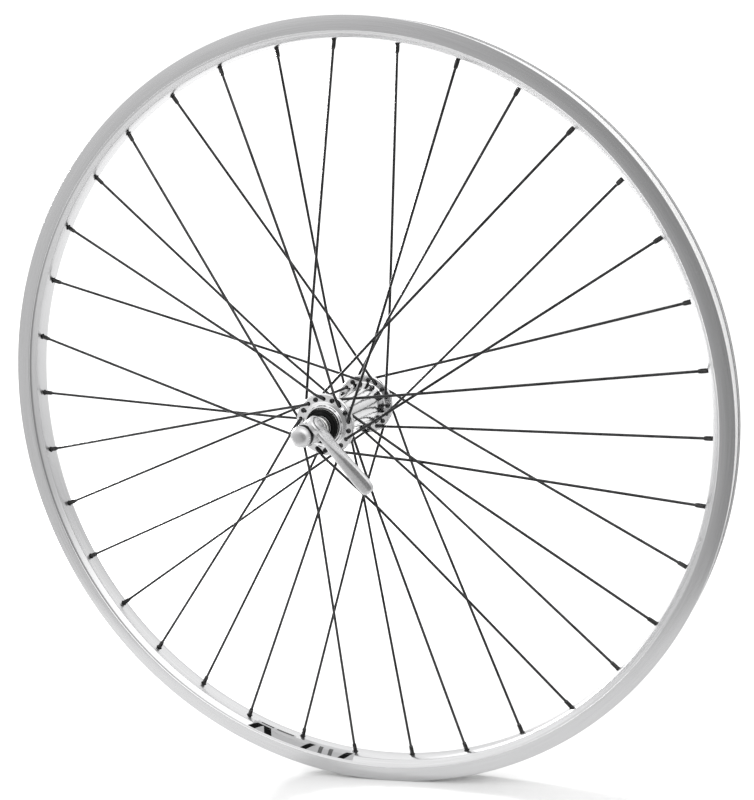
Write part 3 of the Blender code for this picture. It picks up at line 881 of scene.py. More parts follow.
@dataclass
class Rim(Assembly):
    """The hoop: a box section with two brake tracks, drilled for nipples and for a valve."""

    radius: float = 0.285
    half_width: float = 0.011
    depth: float = 0.0161
    wall: float = 0.0016
    seat_radius: float = 0.2795
    well_drop: float = 0.0022
    lip_edge: float = 0.0018
    track_depth: float = 0.0107
    steps: int = 360
    first_nipple: float = 103.0
    nipple_count: int = 36
    nipple_offset: float = 0.0014
    nipple_hole: float = 0.0023
    access_hole: float = 0.0036
    valve_angle: float = 78.0
    valve_hole: float = 0.0043
    film_lift: float = 0.00012
    ink_lift: float = 0.00020
    print_thickness: float = 0.00006
    label_start: float = 244.4
    label_end: float = 263.2
    label_bays: tuple[tuple[float, float], ...] = ((244.9, 252.2), (253.8, 262.2))

    @property
    def bed(self) -> float:
        """Radius of the face that the nipples come out of."""
        return self.radius - self.depth

    @property
    def slope(self) -> tuple[tuple[float, float], tuple[float, float]]:
        """Inner and outer end of the wall beside the spoke bed, as (radius, distance from the middle)."""
        outer = (self.radius - self.track_depth - 0.0016, self.half_width - 0.0012)
        return (self.bed + 0.0008, 0.0068), outer

    def section(self) -> tuple[Outline, Outline]:
        """Outer outline and inner chamber of the extrusion."""
        lip = self.half_width - self.wall
        well = self.seat_radius - self.well_drop
        track_end = self.radius - self.track_depth
        inner, outer = self.slope
        half = [
            (self.bed - 0.0002, 0.0),
            (self.bed, 0.0040),
            inner,
            outer,
            (track_end - 0.0003, self.half_width - 0.0005),
            (track_end, self.half_width),
            (self.radius, self.half_width),
            (self.radius, lip),
            (self.seat_radius + 0.0042, lip),
            (self.seat_radius + 0.0010, lip - 0.0008),
            (self.seat_radius, lip - 0.0008),
            (self.seat_radius, 0.0072),
            (well, 0.0055),
        ]
        outline = half + [(radius, -y) for radius, y in reversed(half[1:])]
        hollow = [
            (well - self.wall, 0.0058),
            (track_end - 0.0005, self.half_width - 0.0024),
            (self.bed + self.wall, 0.0050),
        ]
        chamber = hollow + [(radius, -y) for radius, y in reversed(hollow)]
        return eased(outline, 0.0005, 4), eased(chamber, 0.0008, 2)

    def nipple_angle(self, index: int) -> float:
        """Angle of a nipple in degrees."""
        return self.first_nipple + index * 360 / self.nipple_count

    @staticmethod
    def nipple_side(index: int) -> int:
        """The side that a nipple leans to, by the sign of its Y."""
        return -1 if index % 2 == 0 else 1

    def drills(self) -> bmesh.types.BMesh:
        """Every hole of the rim as a closed shape to cut away."""
        pieces = []
        for index in range(self.nipple_count):
            angle = self.nipple_angle(index)
            out = polar(1.0, angle)
            holes = (
                # start, length, radius
                (self.bed - 0.002, 0.0055, self.nipple_hole),
                (self.seat_radius - 0.0055, 0.0060, self.access_hole),
            )
            for start, length, radius in holes:
                where = along(out, polar(start, angle, self.nipple_side(index) * self.nipple_offset))
                pieces.append(self.drill(radius, length, where))
        valve = along(polar(1.0, self.valve_angle), polar(self.bed - 0.010, self.valve_angle))
        pieces.append(self.drill(self.valve_hole, 0.030, valve))
        return merged(pieces)

    @staticmethod
    def drill(radius: float, length: float, where: Matrix) -> bmesh.types.BMesh:
        """One drill of this radius, from the matrix's origin along its Z."""
        shape = bmesh.new()
        bmesh.ops.create_cone(
            shape, cap_ends=True, segments=24, radius1=radius, radius2=radius, depth=length,
            matrix=where @ Matrix.Translation((0.0, 0.0, length / 2)),
        )
        return shape

    @property
    def walls(self) -> tuple[Outline, Outline, Outline]:
        """The near faces for a label, each from its inner to its outer end: slope, shoulder and bed."""
        corner, outer = self.slope
        shoulder = (self.bed, 0.0040)
        middle = (self.bed - 0.00014, 0.0012)
        return [corner, outer], [shoulder, corner], [middle, shoulder]

    @staticmethod
    def wall_point(wall: Outline, angle: float, share: float, lift: float) -> Vector:
        """A point just over a near wall, share 0 at its inner end and 1 at its outer one."""
        (r0, y0), (r1, y1) = wall
        normal = Vector((-(y1 - y0), r1 - r0)).normalized()
        radius = r0 + (r1 - r0) * share + normal.x * lift
        return polar(radius, angle, -(y0 + (y1 - y0) * share + normal.y * lift))

    def patch(
        self, wall: Outline, span: tuple[float, float], reach: tuple[float, float], slant: float, lift: float
    ) -> bmesh.types.BMesh:
        """A thin printed shape on a near wall.

        Args:
            wall: The wall it lies on.
            span: Its first and last angle in degrees.
            reach: The shares of the wall where it begins and ends.
            slant: How many degrees its far edge is shifted.
            lift: Height of its face over the metal.

        Returns:
            The shape, closed.
        """
        start, end = span
        low, high = reach
        across = 5
        columns = max(3, int((end - start) / 0.5))
        shape = bmesh.new()
        sheets = []
        for height in (lift, lift - self.print_thickness):
            sheet = []
            for column in range(columns + 1):
                angle = start + (end - start) * column / columns
                row = []
                for step in range(across + 1):
                    part = step / across
                    share = low + (high - low) * part
                    row.append(shape.verts.new(self.wall_point(wall, angle + slant * part, share, height)))
                sheet.append(row)
            sheets.append(sheet)
        for sheet in sheets:
            for one, two in zip(sheet, sheet[1:]):
                bridge(shape, one, two, closed=False)
        top, under = sheets
        turned_top, turned_under = (list(zip(*sheet)) for sheet in sheets)
        for upper, lower in ((top, under), (turned_top, turned_under)):
            for end in (0, -1):
                bridge(shape, upper[end], lower[end], closed=False)
        return shape

    def build(self) -> None:
        """The hoop and its printed label."""
        outline, chamber = self.section()
        hoop = finished_mesh("rim_hoop", turned_shape([outline, chamber], self.steps))
        piece = self.place("rim_hoop", cut(hoop, self.drills()), RIM_ALLOY, "wheel", "rim")
        # The faces of the tyre channel take the paler copy of the alloy: painted light over the shade in the
        # well.
        piece.data.materials.append(CHANNEL_PAINTED_LIGHT.material())
        for face in piece.data.polygons:
            reach = math.hypot(face.center.x, face.center.z)
            outside_well = reach > self.seat_radius - self.well_drop - 0.0003
            in_channel = outside_well and abs(face.center.y) < self.half_width - 0.0005
            # The lips keep the satin finish on the sides of their top edge.
            if in_channel and (abs(face.normal.y) < 0.6 or reach < self.radius - self.lip_edge):
                face.material_index = 1
        self.build_label()

    def bar(self, first: float, width: float, lean: float) -> list[bmesh.types.BMesh]:
        """A bar over the slope and the shoulder.

        Args:
            first: Where it starts, in degrees from the label's start.
            width: Its width in degrees.
            lean: How many degrees it leans over the slope's height.

        Returns:
            Its two patches.
        """
        slope, shoulder, _ = self.walls
        start = self.label_start + first
        above = start - 0.5 * lean
        return [
            self.patch(slope, (start, start + width), (0.0, 0.92), lean, self.ink_lift),
            self.patch(shoulder, (above, above + width), (0.35, 1.0), 0.5 * lean, self.ink_lift),
        ]

    def build_label(self) -> None:
        """A plain label on the near walls: a film with slanted bars, a long line and short bars."""
        slope, shoulder, bed = self.walls
        start = self.label_start
        whole = (start, self.label_end)
        film = [
            self.patch(slope, whole, (0.0, 0.96), 0.0, self.film_lift),
            self.patch(shoulder, whole, (0.0, 1.0), 0.0, self.film_lift),
        ]
        for span in self.label_bays:
            film.append(self.patch(bed, span, (0.25, 1.0), 0.0, self.film_lift))
        self.place("rim_label_film", finished_mesh("film", merged(film)), LABEL_FILM, "wheel")
        dark = []
        for first, width, lean in ((0.3, 1.3, -0.9), (2.1, 1.4, 0.5), (10.2, 1.1, -0.9), (17.0, 1.2, -0.9)):
            dark.extend(self.bar(first, width, lean))
        dark.append(self.patch(bed, (start + 1.2, start + 3.6), (0.45, 0.80), 0.0, self.ink_lift))
        self.place("rim_label_bars", finished_mesh("bars", merged(dark)), LABEL_INK, "wheel")
        lines = [self.patch(bed, (start + 4.2, start + 7.4), (0.35, 0.95), 0.0, self.ink_lift)]
        for first in (12.5, 14.3):
            lines.extend(self.bar(first, 0.7, 0.0))
        self.place("rim_label_lines", finished_mesh("lines", merged(lines)), LABEL_GREY, "wheel")


# Spokes

@dataclass
class Lacing(Assembly):
    """Thirty-six bent spokes and their nipples, crossing three times on each flange."""

    rim: Rim = field(default_factory=Rim)
    crossings: int = 3
    hole_circle: float = 0.019
    flange_y: float = 0.036
    flange_thickness: float = 0.003
    clearance: float = 0.0003
    wire: float = 0.0010
    head: float = 0.0018
    nipple: float = 0.0017
    nipple_head: float = 0.0029
    nipple_shown: float = 0.0070
    nipple_sides: int = 24
    bend: float = 0.0011
    head_length: float = 0.0012
    flange_edge: float = 0.0078
    wire_in_nipple: float = 0.004
    sides: int = 14

    @staticmethod
    def turn(index: int) -> int:
        """Which way round the hub a spoke leans."""
        return -1 if index % 4 in (0, 1) else 1

    def start(self, index: int) -> tuple[Vector, Vector, Vector, int, bool]:
        """Where a spoke begins and ends.

        Args:
            index: Number of the spoke.

        Returns:
            Its flange hole, its seat in the rim, its direction seen from the side, its side and
            whether its long part lies outside its flange.
        """
        side = self.rim.nipple_side(index)
        angle = self.rim.nipple_angle(index)
        lean = self.turn(index) * self.crossings * 2 * 360 / self.rim.nipple_count
        hole = polar(self.hole_circle, angle + lean)
        seat = polar(self.rim.bed, angle, side * self.rim.nipple_offset)
        run = (Vector((seat.x, 0.0, seat.z)) - hole).normalized()
        return hole, seat, run, side, index % 4 in (0, 3)

    def crossing(self, index: int) -> float:
        """How far along its run a spoke meets the last spoke that it crosses."""
        hole, _, run, _, _ = self.start(index)
        ray = polar(1.0, self.rim.nipple_angle(index) + self.turn(index) * 360 / self.rim.nipple_count)
        return (ray.x * hole.z - ray.z * hole.x) / (run.x * ray.z - run.z * ray.x)

    def levels(self, index: int) -> tuple[float, float, float]:
        """Distances from the wheel's middle plane of a spoke's head, its shank and its last crossing."""
        hole, seat, _, _, outside = self.start(index)
        out = 1 if outside else -1
        face = self.flange_thickness / 2 + self.clearance
        length = (Vector((seat.x, 0.0, seat.z)) - hole).length
        share = self.crossing(index) / length
        middle = self.flange_y * (1 - share) - self.rim.nipple_offset * share
        weave = middle - out * (self.wire + self.clearance / 2)
        return self.flange_y - out * face, self.flange_y + out * (face + self.wire), weave

    def path(self, index: int) -> tuple[list[Vector], list[float], Vector]:
        """Centre line of a spoke from its head to its nipple.

        Args:
            index: Number of the spoke.

        Returns:
            Its points, the radius at each, and the direction of its last straight length.
        """
        hole, seat, run, side, outside = self.start(index)
        out = 1 if outside else -1
        base, shank, weave = self.levels(index)

        def at(distance: float, level: float) -> Vector:
            """A point this far along the spoke's run and this far from the middle plane."""
            return hole + run * distance + Vector((0.0, side * level, 0.0))

        crossing = at(self.crossing(index), weave)
        end = (seat - crossing).normalized()
        points = []
        radii = []
        for share in (1.0, 0.96, 0.82, 0.55, 0.25, 0.0):
            points.append(at(0.0, base - out * self.head_length * share))
            radii.append(self.head * math.sqrt(max(1.0 - share**3, 0.02)))
        points.append(at(0.0, base + out * 0.00005))
        radii.append(self.wire)
        for step in range(7):
            angle = math.radians(90 * step / 6)
            level = shank - out * self.bend * (1 - math.sin(angle))
            points.append(at(self.bend * (1 - math.cos(angle)), level))
            radii.append(self.wire)
        past_flange = at(self.flange_edge, shank if outside else shank - 0.0004)
        for start, stop in ((points[-1], past_flange), (past_flange, crossing)):
            for step in range(1, 5):
                points.append(start.lerp(stop, step / 4))
                radii.append(self.wire)
        tail = seat - end * (self.nipple_shown - self.wire_in_nipple)
        for step in range(1, 7):
            points.append(crossing.lerp(tail, step / 6))
            radii.append(self.wire)
        return points, radii, end

    def nipple_rings(self, seat: Vector, end: Vector) -> list[Ring]:
        """Sections of a nipple: a domed head in the rim, a round neck, wrench flats and a coned tip."""
        inside = self.rim.wall + self.clearance
        shown = self.nipple_shown
        stations = [
            # towards the rim, radius, squareness
            (inside + 0.0030, 0.0012, 0.0),
            (inside + 0.0027, 0.0024, 0.0),
            (inside + 0.0020, self.nipple_head, 0.0),
            (inside + 0.0006, self.nipple_head, 0.0),
            (inside, self.nipple, 0.0),
            (-0.11 * shown, self.nipple, 0.0),
            (-0.17 * shown, self.nipple * 0.90, 0.1),
            (-0.25 * shown, self.nipple * 0.92, 1.0),
            (-0.72 * shown, self.nipple * 0.90, 1.0),
            (-0.79 * shown, self.nipple * 0.88, 0.3),
            (-0.84 * shown, self.nipple * 0.92, 0.0),
            (-0.92 * shown, self.nipple * 0.88, 0.0),
            (-shown + 0.0002, self.nipple * 0.72, 0.0),
            (-shown, self.wire * 1.15, 0.0),
            (-shown + 0.0006, self.wire * 1.02, 0.0),
        ]
        side = end.orthogonal().normalized()
        other = end.cross(side)
        rings = []
        for reach, radius, square in stations:
            ring = []
            for step in range(self.nipple_sides):
                angle = 2 * math.pi * step / self.nipple_sides
                spread = max(abs(math.cos(angle)), abs(math.sin(angle)))
                size = radius * (1 - square + square * 0.92 / spread)
                size = min(size, radius * 1.12)
                ring.append(seat + end * reach + (side * math.cos(angle) + other * math.sin(angle)) * size)
            rings.append(ring)
        return rings

    def build(self) -> None:
        """Every spoke and nipple."""
        for index in range(self.rim.nipple_count):
            node = f"spoke_{index:02d}"
            _, seat, _, _, _ = self.start(index)
            points, radii, end = self.path(index)
            wire = lofted_shape(swept_rings(points, radii, self.sides))
            self.place(f"{node}_wire", finished_mesh(node, wire, 50), SPOKE_STEEL, "wheel", node)
            nipple = lofted_shape(self.nipple_rings(seat, end))
            self.place(f"{node}_nipple", finished_mesh(node, nipple, 40), NIPPLE_NICKEL, "wheel", node)


# Hub

@dataclass
class Hub(Assembly):
    """The forged shell with two drilled flanges."""

    lacing: Lacing = field(default_factory=Lacing)
    flange_radius: float = 0.0228
    barrel: float = 0.0148
    waist: float = 0.0132
    lip: float = 0.0141
    bore: float = 0.0120
    steps: int = 128

    def outline(self) -> Outline:
        """Section of the shell from one end to the other, as a ring."""
        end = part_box("hub_shell")[1].y
        half = self.lacing.flange_thickness / 2
        inner = self.lacing.flange_y - half
        outer = self.lacing.flange_y + half
        outside = [
            (self.waist, 0.0),
            (self.waist + 0.0001, 0.0065),
            (self.waist + 0.0004, 0.0130),
            (self.waist + 0.0009, 0.0195),
            (self.barrel, 0.0250),
            (self.barrel + 0.0003, 0.0290),
            (self.barrel + 0.0008, 0.0318),
            (self.barrel + 0.0014, inner - 0.0009),
            (0.0172, inner),
            (self.flange_radius - 0.0006, inner),
            (self.flange_radius, inner + half),
            (self.flange_radius - 0.0006, outer),
            (0.0170, outer),
            (0.0163, outer + 0.0003),
            (self.lip + 0.0004, outer + 0.0008),
            (self.lip, outer + 0.0016),
            (self.lip, end - 0.0003),
            (self.lip - 0.0003, end),
        ]
        inside = [
            (0.0129, end),
            (0.0129, 0.0380),
            (self.bore, 0.0380),
            (self.bore, 0.0290),
            (0.0085, 0.0290),
        ]
        half_ring = outside + inside
        return eased(half_ring + [(radius, -y) for radius, y in reversed(half_ring[1:])], 0.0005, 4)

    def holes(self) -> bmesh.types.BMesh:
        """The countersunk flange holes as shapes to cut away."""
        pieces = []
        radius = self.lacing.wire + self.lacing.clearance
        reach = self.lacing.flange_thickness / 2
        for index in range(self.lacing.rim.nipple_count):
            hole, _, _, side, _ = self.lacing.start(index)
            centre = hole + Vector((0.0, side * self.lacing.flange_y, 0.0))
            rings = []
            sink = radius + 0.0009
            for y, size in ((-reach - 0.0006, sink), (-reach + 0.0003, radius), (reach - 0.0003, radius),
                            (reach + 0.0006, sink)):
                rings.append([centre + polar(size, 360 * step / 20, y) for step in range(20)])
            pieces.append(lofted_shape(rings))
        return merged(pieces)

    def build(self) -> None:
        """The shell."""
        shell = finished_mesh("hub", turned_shape([self.outline()], self.steps))
        self.place("hub_shell_forging", cut(shell, self.holes()), HUB_ALLOY, "wheel", "hub_shell")


@dataclass
class BearingSet(Assembly):
    """The cup, balls, cone, covers and nuts of one end of the hub."""

    side: Side = Side.NEAR
    pitch: float = 0.0084
    plane: float = 0.0335
    ball: float = 0.00238
    ball_count: int = 9
    nut_teeth: int = 30
    axle: float = 0.005
    clearance: float = 0.0003
    steps: int = 96

    def ring(self, name: str, outline: Outline, finish: Finish, body: str, rounding: float = 0.00025) -> None:
        """A turned piece that stands for the node of the same name."""
        node = f"{name}_{self.side.word}"
        shape = eased(mirrored(outline, self.side), rounding, 3)
        self.turned(f"{node}_fine", shape, self.steps, finish, body, node)

    def build_races(self) -> None:
        """The cup pressed into the hub and the cone screwed on the axle."""
        reach = self.ball + self.clearance
        race = arc((self.pitch, self.plane), reach, -80, 30, 12)
        cup = [(0.0117, 0.0378), (0.0117, 0.0293), (self.pitch + 0.0004, 0.0293)]
        self.ring("bearing_cup", cup + race + [(self.pitch + 0.0023, 0.0378)], BEARING_STEEL, "wheel", 0.0001)
        bore = self.axle + self.clearance
        race = arc((self.pitch, self.plane), reach, 108, 196, 12)
        cone = [(0.0080, 0.0448), (0.0080, 0.0402), (0.0074, 0.0375)]
        self.ring("cone", cone + race + [(bore, 0.0322), (bore, 0.0448)], BEARING_STEEL, "axle_set", 0.0001)

    def build_balls(self) -> None:
        """Nine balls in their retainer."""
        middle = self.side.value * self.plane
        lift = self.side.value
        section = [
            (self.pitch + 0.0006, middle + lift * 0.0011),
            (self.pitch + 0.0006, middle + lift * 0.0004),
            (self.pitch - 0.0002, middle + lift * 0.0004),
            (self.pitch - 0.0002, middle + lift * 0.0011),
        ]
        shapes = [turned_shape([eased(section, 0.0001, 2)], 72)]
        for index in range(self.ball_count):
            ball = bmesh.new()
            where = Matrix.Translation(polar(self.pitch, index * 360 / self.ball_count, middle))
            bmesh.ops.create_uvsphere(ball, u_segments=28, v_segments=16, radius=self.ball, matrix=where)
            shapes.append(ball)
        name = f"ball_ring_{self.side.word}"
        mesh = finished_mesh(name, merged(shapes))
        self.place(f"{name}_fine", mesh, BALL_STEEL, f"balls_{self.side.word}", name)

    def build_covers(self) -> None:
        """The dust cap in the hub and the rubber seal on the cone."""
        cap = [
            (0.0125, 0.0412),
            (0.0125, 0.0383),
            (0.0118, 0.0383),
            (0.0118, 0.0404),
            (0.0088, 0.0404),
            (0.0088, 0.0412),
        ]
        self.ring("dust_cap", cap, ZINC_PLATE, "wheel")
        seal = [
            (0.0086, 0.0447),
            (0.0096, 0.0447),
            (0.0104, 0.0443),
            (0.0108, 0.0436),
            (0.0113, 0.0440),
            (0.0119, 0.0437),
            (0.0125, 0.0428),
            (0.0125, 0.0416),
            (0.0083, 0.0416),
            (0.0083, 0.0447),
        ]
        self.ring("rubber_seal", seal, SEAL_RUBBER, "axle_set", 0.0003)

    def build_nuts(self) -> None:
        """The keyed washer and the locknut, whose outer face bites the fork."""
        bore = self.axle + self.clearance
        washer = [(0.0078, 0.0460), (0.0078, 0.0451), (bore, 0.0451), (bore, 0.0460)]
        self.ring("keyed_washer", washer, ZINC_PLATE, "axle_set", 0.00015)
        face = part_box("locknut_far")[1].y
        outline = [
            (0.0078, face),
            (0.0085, face - 0.0006),
            (0.0085, 0.0469),
            (0.0079, 0.0463),
            (bore, 0.0463),
            (bore, face - 0.0003),
            (bore + 0.0003, face),
        ]
        name = f"locknut_{self.side.word}"
        nut = finished_mesh(name, turned_shape([eased(mirrored(outline, self.side), 0.0002, 3)], self.steps))
        teeth = []
        for index in range(self.nut_teeth):
            groove = bmesh.new()
            angle = 360 * index / self.nut_teeth
            where = along(polar(1.0, angle), polar(0.0058, angle, self.side.value * (face + 0.00005)))
            bmesh.ops.create_cone(
                groove, cap_ends=True, segments=8, radius1=0.00022, radius2=0.00040, depth=0.004,
                matrix=where @ Matrix.Translation((0.0, 0.0, 0.002)),
            )
            teeth.append(groove)
        self.place(f"{name}_fine", cut(nut, merged(teeth)), ZINC_PLATE, "axle_set", name)

    def build(self) -> None:
        """Every piece of this end."""
        self.build_races()
        self.build_balls()
        self.build_covers()
        self.build_nuts()


# Axle and quick release

@dataclass
class Spindle(Assembly):
    """The hollow threaded axle that the skewer rod runs through."""

    axle: float = 0.005
    rod: float = 0.0025
    clearance: float = 0.0003
    thread_start: float = 0.0300
    thread_pitch: float = 0.001
    thread_depth: float = 0.00045
    thread_turns: int = 22
    chamfer: float = 0.0005
    bore_chamfer: float = 0.0003
    sides: int = 48

    def build(self) -> None:
        """A hollow axle, plain in the middle and threaded towards both ends."""
        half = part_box("axle")[1].y
        bore = self.rod + self.clearance
        start = -half + self.chamfer
        count = self.thread_turns * THREAD_LEVELS
        rows = [-half, start]
        for step in range(1, count + 1):
            rows.append(start + (half - self.chamfer - self.thread_start) * step / count)
        rows.append(0.0)
        rows.extend([-y for y in reversed(rows[:-1])])
        shape = bmesh.new()
        made = []
        for y in rows:
            ring = []
            for step in range(self.sides):
                phase = (y / self.thread_pitch - step / self.sides) % 1.0
                in_thread = self.thread_start < abs(y) < half - self.chamfer
                depth = self.thread_depth * abs(2.0 * phase - 1.0) if in_thread else 0.0
                edge = self.chamfer if abs(y) > half - self.chamfer / 2 else 0.0
                ring.append(shape.verts.new(polar(self.axle - depth - edge, 360 * step / self.sides, y)))
            made.append(ring)
        inner = half - self.bore_chamfer
        for y in (half, inner, 0.0, -inner, -half):
            size = bore + (self.bore_chamfer if abs(y) == half else 0.0)
            ring = [shape.verts.new(polar(size, 360 * step / self.sides, y)) for step in range(self.sides)]
            made.append(ring)
        for one, two in zip(made, made[1:] + made[:1]):
            bridge(shape, one, two)
        self.place("axle_threaded", finished_mesh("axle", shape), ZINC_PLATE, "axle_set", "axle")


@dataclass
class QuickRelease(Assembly):
    """The skewer: cam housing, lever, rod, springs and adjusting nut."""

    rod: float = 0.0025
    clearance: float = 0.0003
    cam_y: float = -0.0672
    cam_throw: float = 0.0009
    housing: float = 0.0079
    lever_angle: float = 300.0
    lever_length: float = 0.0590
    journal: float = 0.0042
    recess: float = 0.0060
    recess_depth: float = 0.0022
    groove_depth: float = 0.0012
    groove_start: float = 0.0050
    groove_end: float = 0.0094
    spring_wire: float = 0.0004
    spring_turns: float = 3.0
    nut_scallops: int = 6
    steps: int = 96

    @property
    def run(self) -> Vector:
        """Direction of the closed lever."""
        return polar(1.0, self.lever_angle)

    @property
    def pivot(self) -> Vector:
        """Direction of the lever's pivot, towards the arm's side."""
        return polar(1.0, self.lever_angle + 90)

    def about_pivot(self, outline: Outline, steps: int) -> bmesh.types.BMesh:
        """A body turned about the lever's pivot. Its outline is (radius, distance along the pivot)."""
        shape = turned_shape([outline], steps)
        turn = along(self.pivot, Vector((0.0, self.cam_y, 0.0))) @ ALONG_Y.inverted()
        bmesh.ops.transform(shape, matrix=turn, verts=shape.verts)
        return shape

    def build_housing(self) -> None:
        """The capped barrel that presses on the fork, bored across for the camshaft."""
        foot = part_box("cam_housing")[1].y
        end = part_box("cam_housing")[0].y
        hollow = self.housing - 0.0014
        dome = [
            (self.housing - 0.0003, end + 0.0040),
            (self.housing - 0.0009, end + 0.0024),
            (self.housing - 0.0020, end + 0.0011),
            (self.housing - 0.0036, end + 0.0003),
            (self.housing - 0.0060, end + 0.00005),
            (0.0, end),
        ]
        outline = [
            (0.0, end + 0.0030),
            (hollow - 0.0015, end + 0.0035),
            (hollow, end + 0.0050),
            (hollow, foot - 0.0040),
            (self.rod + self.clearance, foot - 0.0036),
            (self.rod + self.clearance, foot - self.recess_depth),
            (self.recess, foot - self.recess_depth),
            (self.recess, foot),
            (self.housing + 0.0009, foot),
            (self.housing + 0.0009, foot - 0.0012),
            (self.housing, foot - 0.0020),
            (self.housing, end + 0.0098),
            (self.housing - self.groove_depth + 0.0001, end + self.groove_end),
            (self.housing - self.groove_depth, end + self.groove_start),
            (self.housing, end + 0.0046),
        ]
        inner = eased(outline, 0.0003, 3)
        # The rounding is for the corners inside the outline, so its two ends go back on the axle.
        profile = [(0.0, end + 0.0030)] + [point for point in inner if point[0] > 0.002] + dome
        shell = finished_mesh("housing", turned_shape([profile], self.steps))
        bore = self.journal + self.clearance
        tail = 0.0024
        bores = merged([
            self.about_pivot([(0.0, 0.0), (bore, 0.0), (bore, 0.012), (0.0, 0.012)], 40),
            self.about_pivot([(0.0, -0.012), (tail, -0.012), (tail, 0.0005), (0.0, 0.0005)], 32),
        ])
        bmesh.ops.recalc_face_normals(bores, faces=bores.faces)
        self.place("cam_housing_barrel", cut(shell, bores), HOUSING_ALLOY, "axle_set", "cam_housing")

    def build_ring(self) -> None:
        """A black ring in the groove behind the housing's cap: painted shade for the dark gap there."""
        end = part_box("cam_housing")[0].y
        groove = self.housing - self.groove_depth
        low = end + self.groove_start + 0.0003
        high = end + self.groove_end - 0.0003
        ring = [
            (self.housing - 0.0002, low),
            (self.housing - 0.0002, high),
            (groove + 0.0001, high),
            (groove + 0.0001, low),
        ]
        shape = eased(ring, 0.0003, 3)
        self.turned("cam_housing_ring", shape, self.steps, GROOVE_SHADE_BLACK, "axle_set", "cam_housing")

    def arm_ring(self, station: Sequence[float]) -> Ring:
        """One section of the lever's arm.

        Args:
            station: Its place along the arm, its middle across, its width, its depth and its y.

        Returns:
            Points of the section: crowned outside, bevelled on both edges and dished behind.
        """
        place, middle, width, depth, y = station
        corners = [
            (-0.50, 0.10), (-0.47, -0.38), (-0.36, -0.49), (-0.10, -0.50), (0.16, -0.48), (0.40, -0.24),
            (0.50, 0.10), (0.47, 0.42), (0.25, 0.50), (0.0, 0.42), (-0.25, 0.50), (-0.47, 0.44),
        ]
        ring = []
        for x, z in eased(corners, 0.10, 3):
            across = self.pivot * (middle + x * width)
            ring.append(self.run * place + across + Vector((0.0, y + z * depth, 0.0)))
        return ring

    def arm(self) -> bmesh.types.BMesh:
        """The arm, from an upright blade at its root to a flat paddle at its tip."""
        root = self.housing + 0.0028
        y = self.cam_y
        stations = [
            (0.0005, root, 0.0040, 0.0120, y),
            (0.0090, root + 0.0002, 0.0048, 0.0116, y),
            (0.0180, root - 0.0004, 0.0068, 0.0085, y + 0.0014),
            (0.0290, root - 0.0006, 0.0092, 0.0060, y + 0.0034),
            (0.0420, root - 0.0004, 0.0108, 0.0048, y + 0.0052),
            (0.0520, root, 0.0112, 0.0042, y + 0.0062),
            (self.lever_length - 0.0022, root, 0.0098, 0.0036, y + 0.0066),
            (self.lever_length - 0.0006, root, 0.0070, 0.0026, y + 0.0067),
            (self.lever_length, root, 0.0040, 0.0012, y + 0.0067),
        ]
        return lofted_shape([self.arm_ring(row) for row in smooth_steps(stations, 6)])

    def build_lever(self) -> None:
        """Arm, collar and camshaft, forged in one piece, with the pressed-in end of the shaft."""
        start = self.housing + 0.0006
        face = start + 0.0042
        collar = eased([(0.0030, start), (0.0078, start), (0.0078, face - 0.0010), (0.0070, face),
                        (0.0061, face), (0.0057, face - 0.0009), (0.0030, face - 0.0009)], 0.0003, 3)
        body = finished_mesh("lever", self.about_pivot(collar, self.steps))
        body = cut(body, self.arm(), "UNION")
        shaft = self.about_pivot([(0.0, 0.0032), (self.journal, 0.0032), (self.journal, face - 0.0012),
                                  (0.0, face - 0.0012)], 48)
        body = cut(body, shaft, "UNION")
        self.place("cam_lever_arm", body, LEVER_ALLOY, "lever", "cam_lever")
        boss = eased([(0.0040, face - 0.0014), (0.0050, face - 0.0014), (0.0050, face + 0.0002),
                      (0.0045, face + 0.0008), (0.0030, face + 0.0011)], 0.0002, 3)
        profile = [(0.0, face - 0.0014)] + boss[1:] + [(0.0015, face + 0.0013), (0.0, face + 0.0013)]
        self.place("cam_lever_boss", finished_mesh("boss", self.about_pivot(profile, 64)), HOUSING_ALLOY,
                   "lever", "cam_lever")
        shift = Matrix.Translation((0.0, -self.cam_throw, 0.0))
        cam = self.about_pivot([(0.0, -0.0037), (0.0027, -0.0037), (0.0027, 0.0031), (0.0, 0.0031)], 48)
        bmesh.ops.transform(cam, matrix=shift, verts=cam.verts)
        tail = self.about_pivot([(0.0, -0.0102), (0.0018, -0.0102), (0.0021, -0.0099), (0.0021, -0.0031),
                                 (0.0, -0.0031)], 32)
        inner = cut(finished_mesh("cam", cam), tail, "UNION")
        self.place("cam_shaft", inner, BEARING_STEEL, "lever", "cam_lever")

    def build_cap(self) -> None:
        """The domed cap that keeps the camshaft in, on the side away from the arm."""
        start = -(self.housing + 0.0005)
        profile = eased([(0.0024, start), (0.0052, start), (0.0052, start - 0.0016), (0.0034, start - 0.0030),
                         (0.0024, start - 0.0031)], 0.0003, 3)
        self.place("cam_cap_dome", finished_mesh("cap", self.about_pivot(profile, 64)), HOUSING_ALLOY,
                   "lever", "cam_cap")

    def build_rod(self) -> None:
        """The skewer rod, with an eye round the cam and a thread at its far end."""
        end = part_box("skewer_rod")[1].y
        eye_y = self.cam_y - self.cam_throw
        eye = 0.0056
        thread = end - 0.0240
        rings = []
        for y, size in ((eye_y + eye - 0.001, self.rod), (thread + 0.0003, self.rod - 0.0001)):
            rings.append([polar(size, 360 * step / 40, y) for step in range(40)])
        shank = lofted_shape(rings)
        threads = threaded_shape(self.rod - 0.0005, self.rod, 0.0008, thread, end)
        section = eased([(0.0041, -0.0022), (eye, -0.0022), (eye, 0.0022), (0.0041, 0.0022)], 0.0003, 3)
        disc = self.about_pivot(section, 64)
        bmesh.ops.transform(disc, matrix=Matrix.Translation((0.0, -self.cam_throw, 0.0)), verts=disc.verts)
        rod = cut(finished_mesh("rod", shank), disc, "UNION")
        rod = cut(rod, threads, "UNION")
        self.place("skewer_rod_fine", rod, ZINC_PLATE, "rod", "skewer_rod")

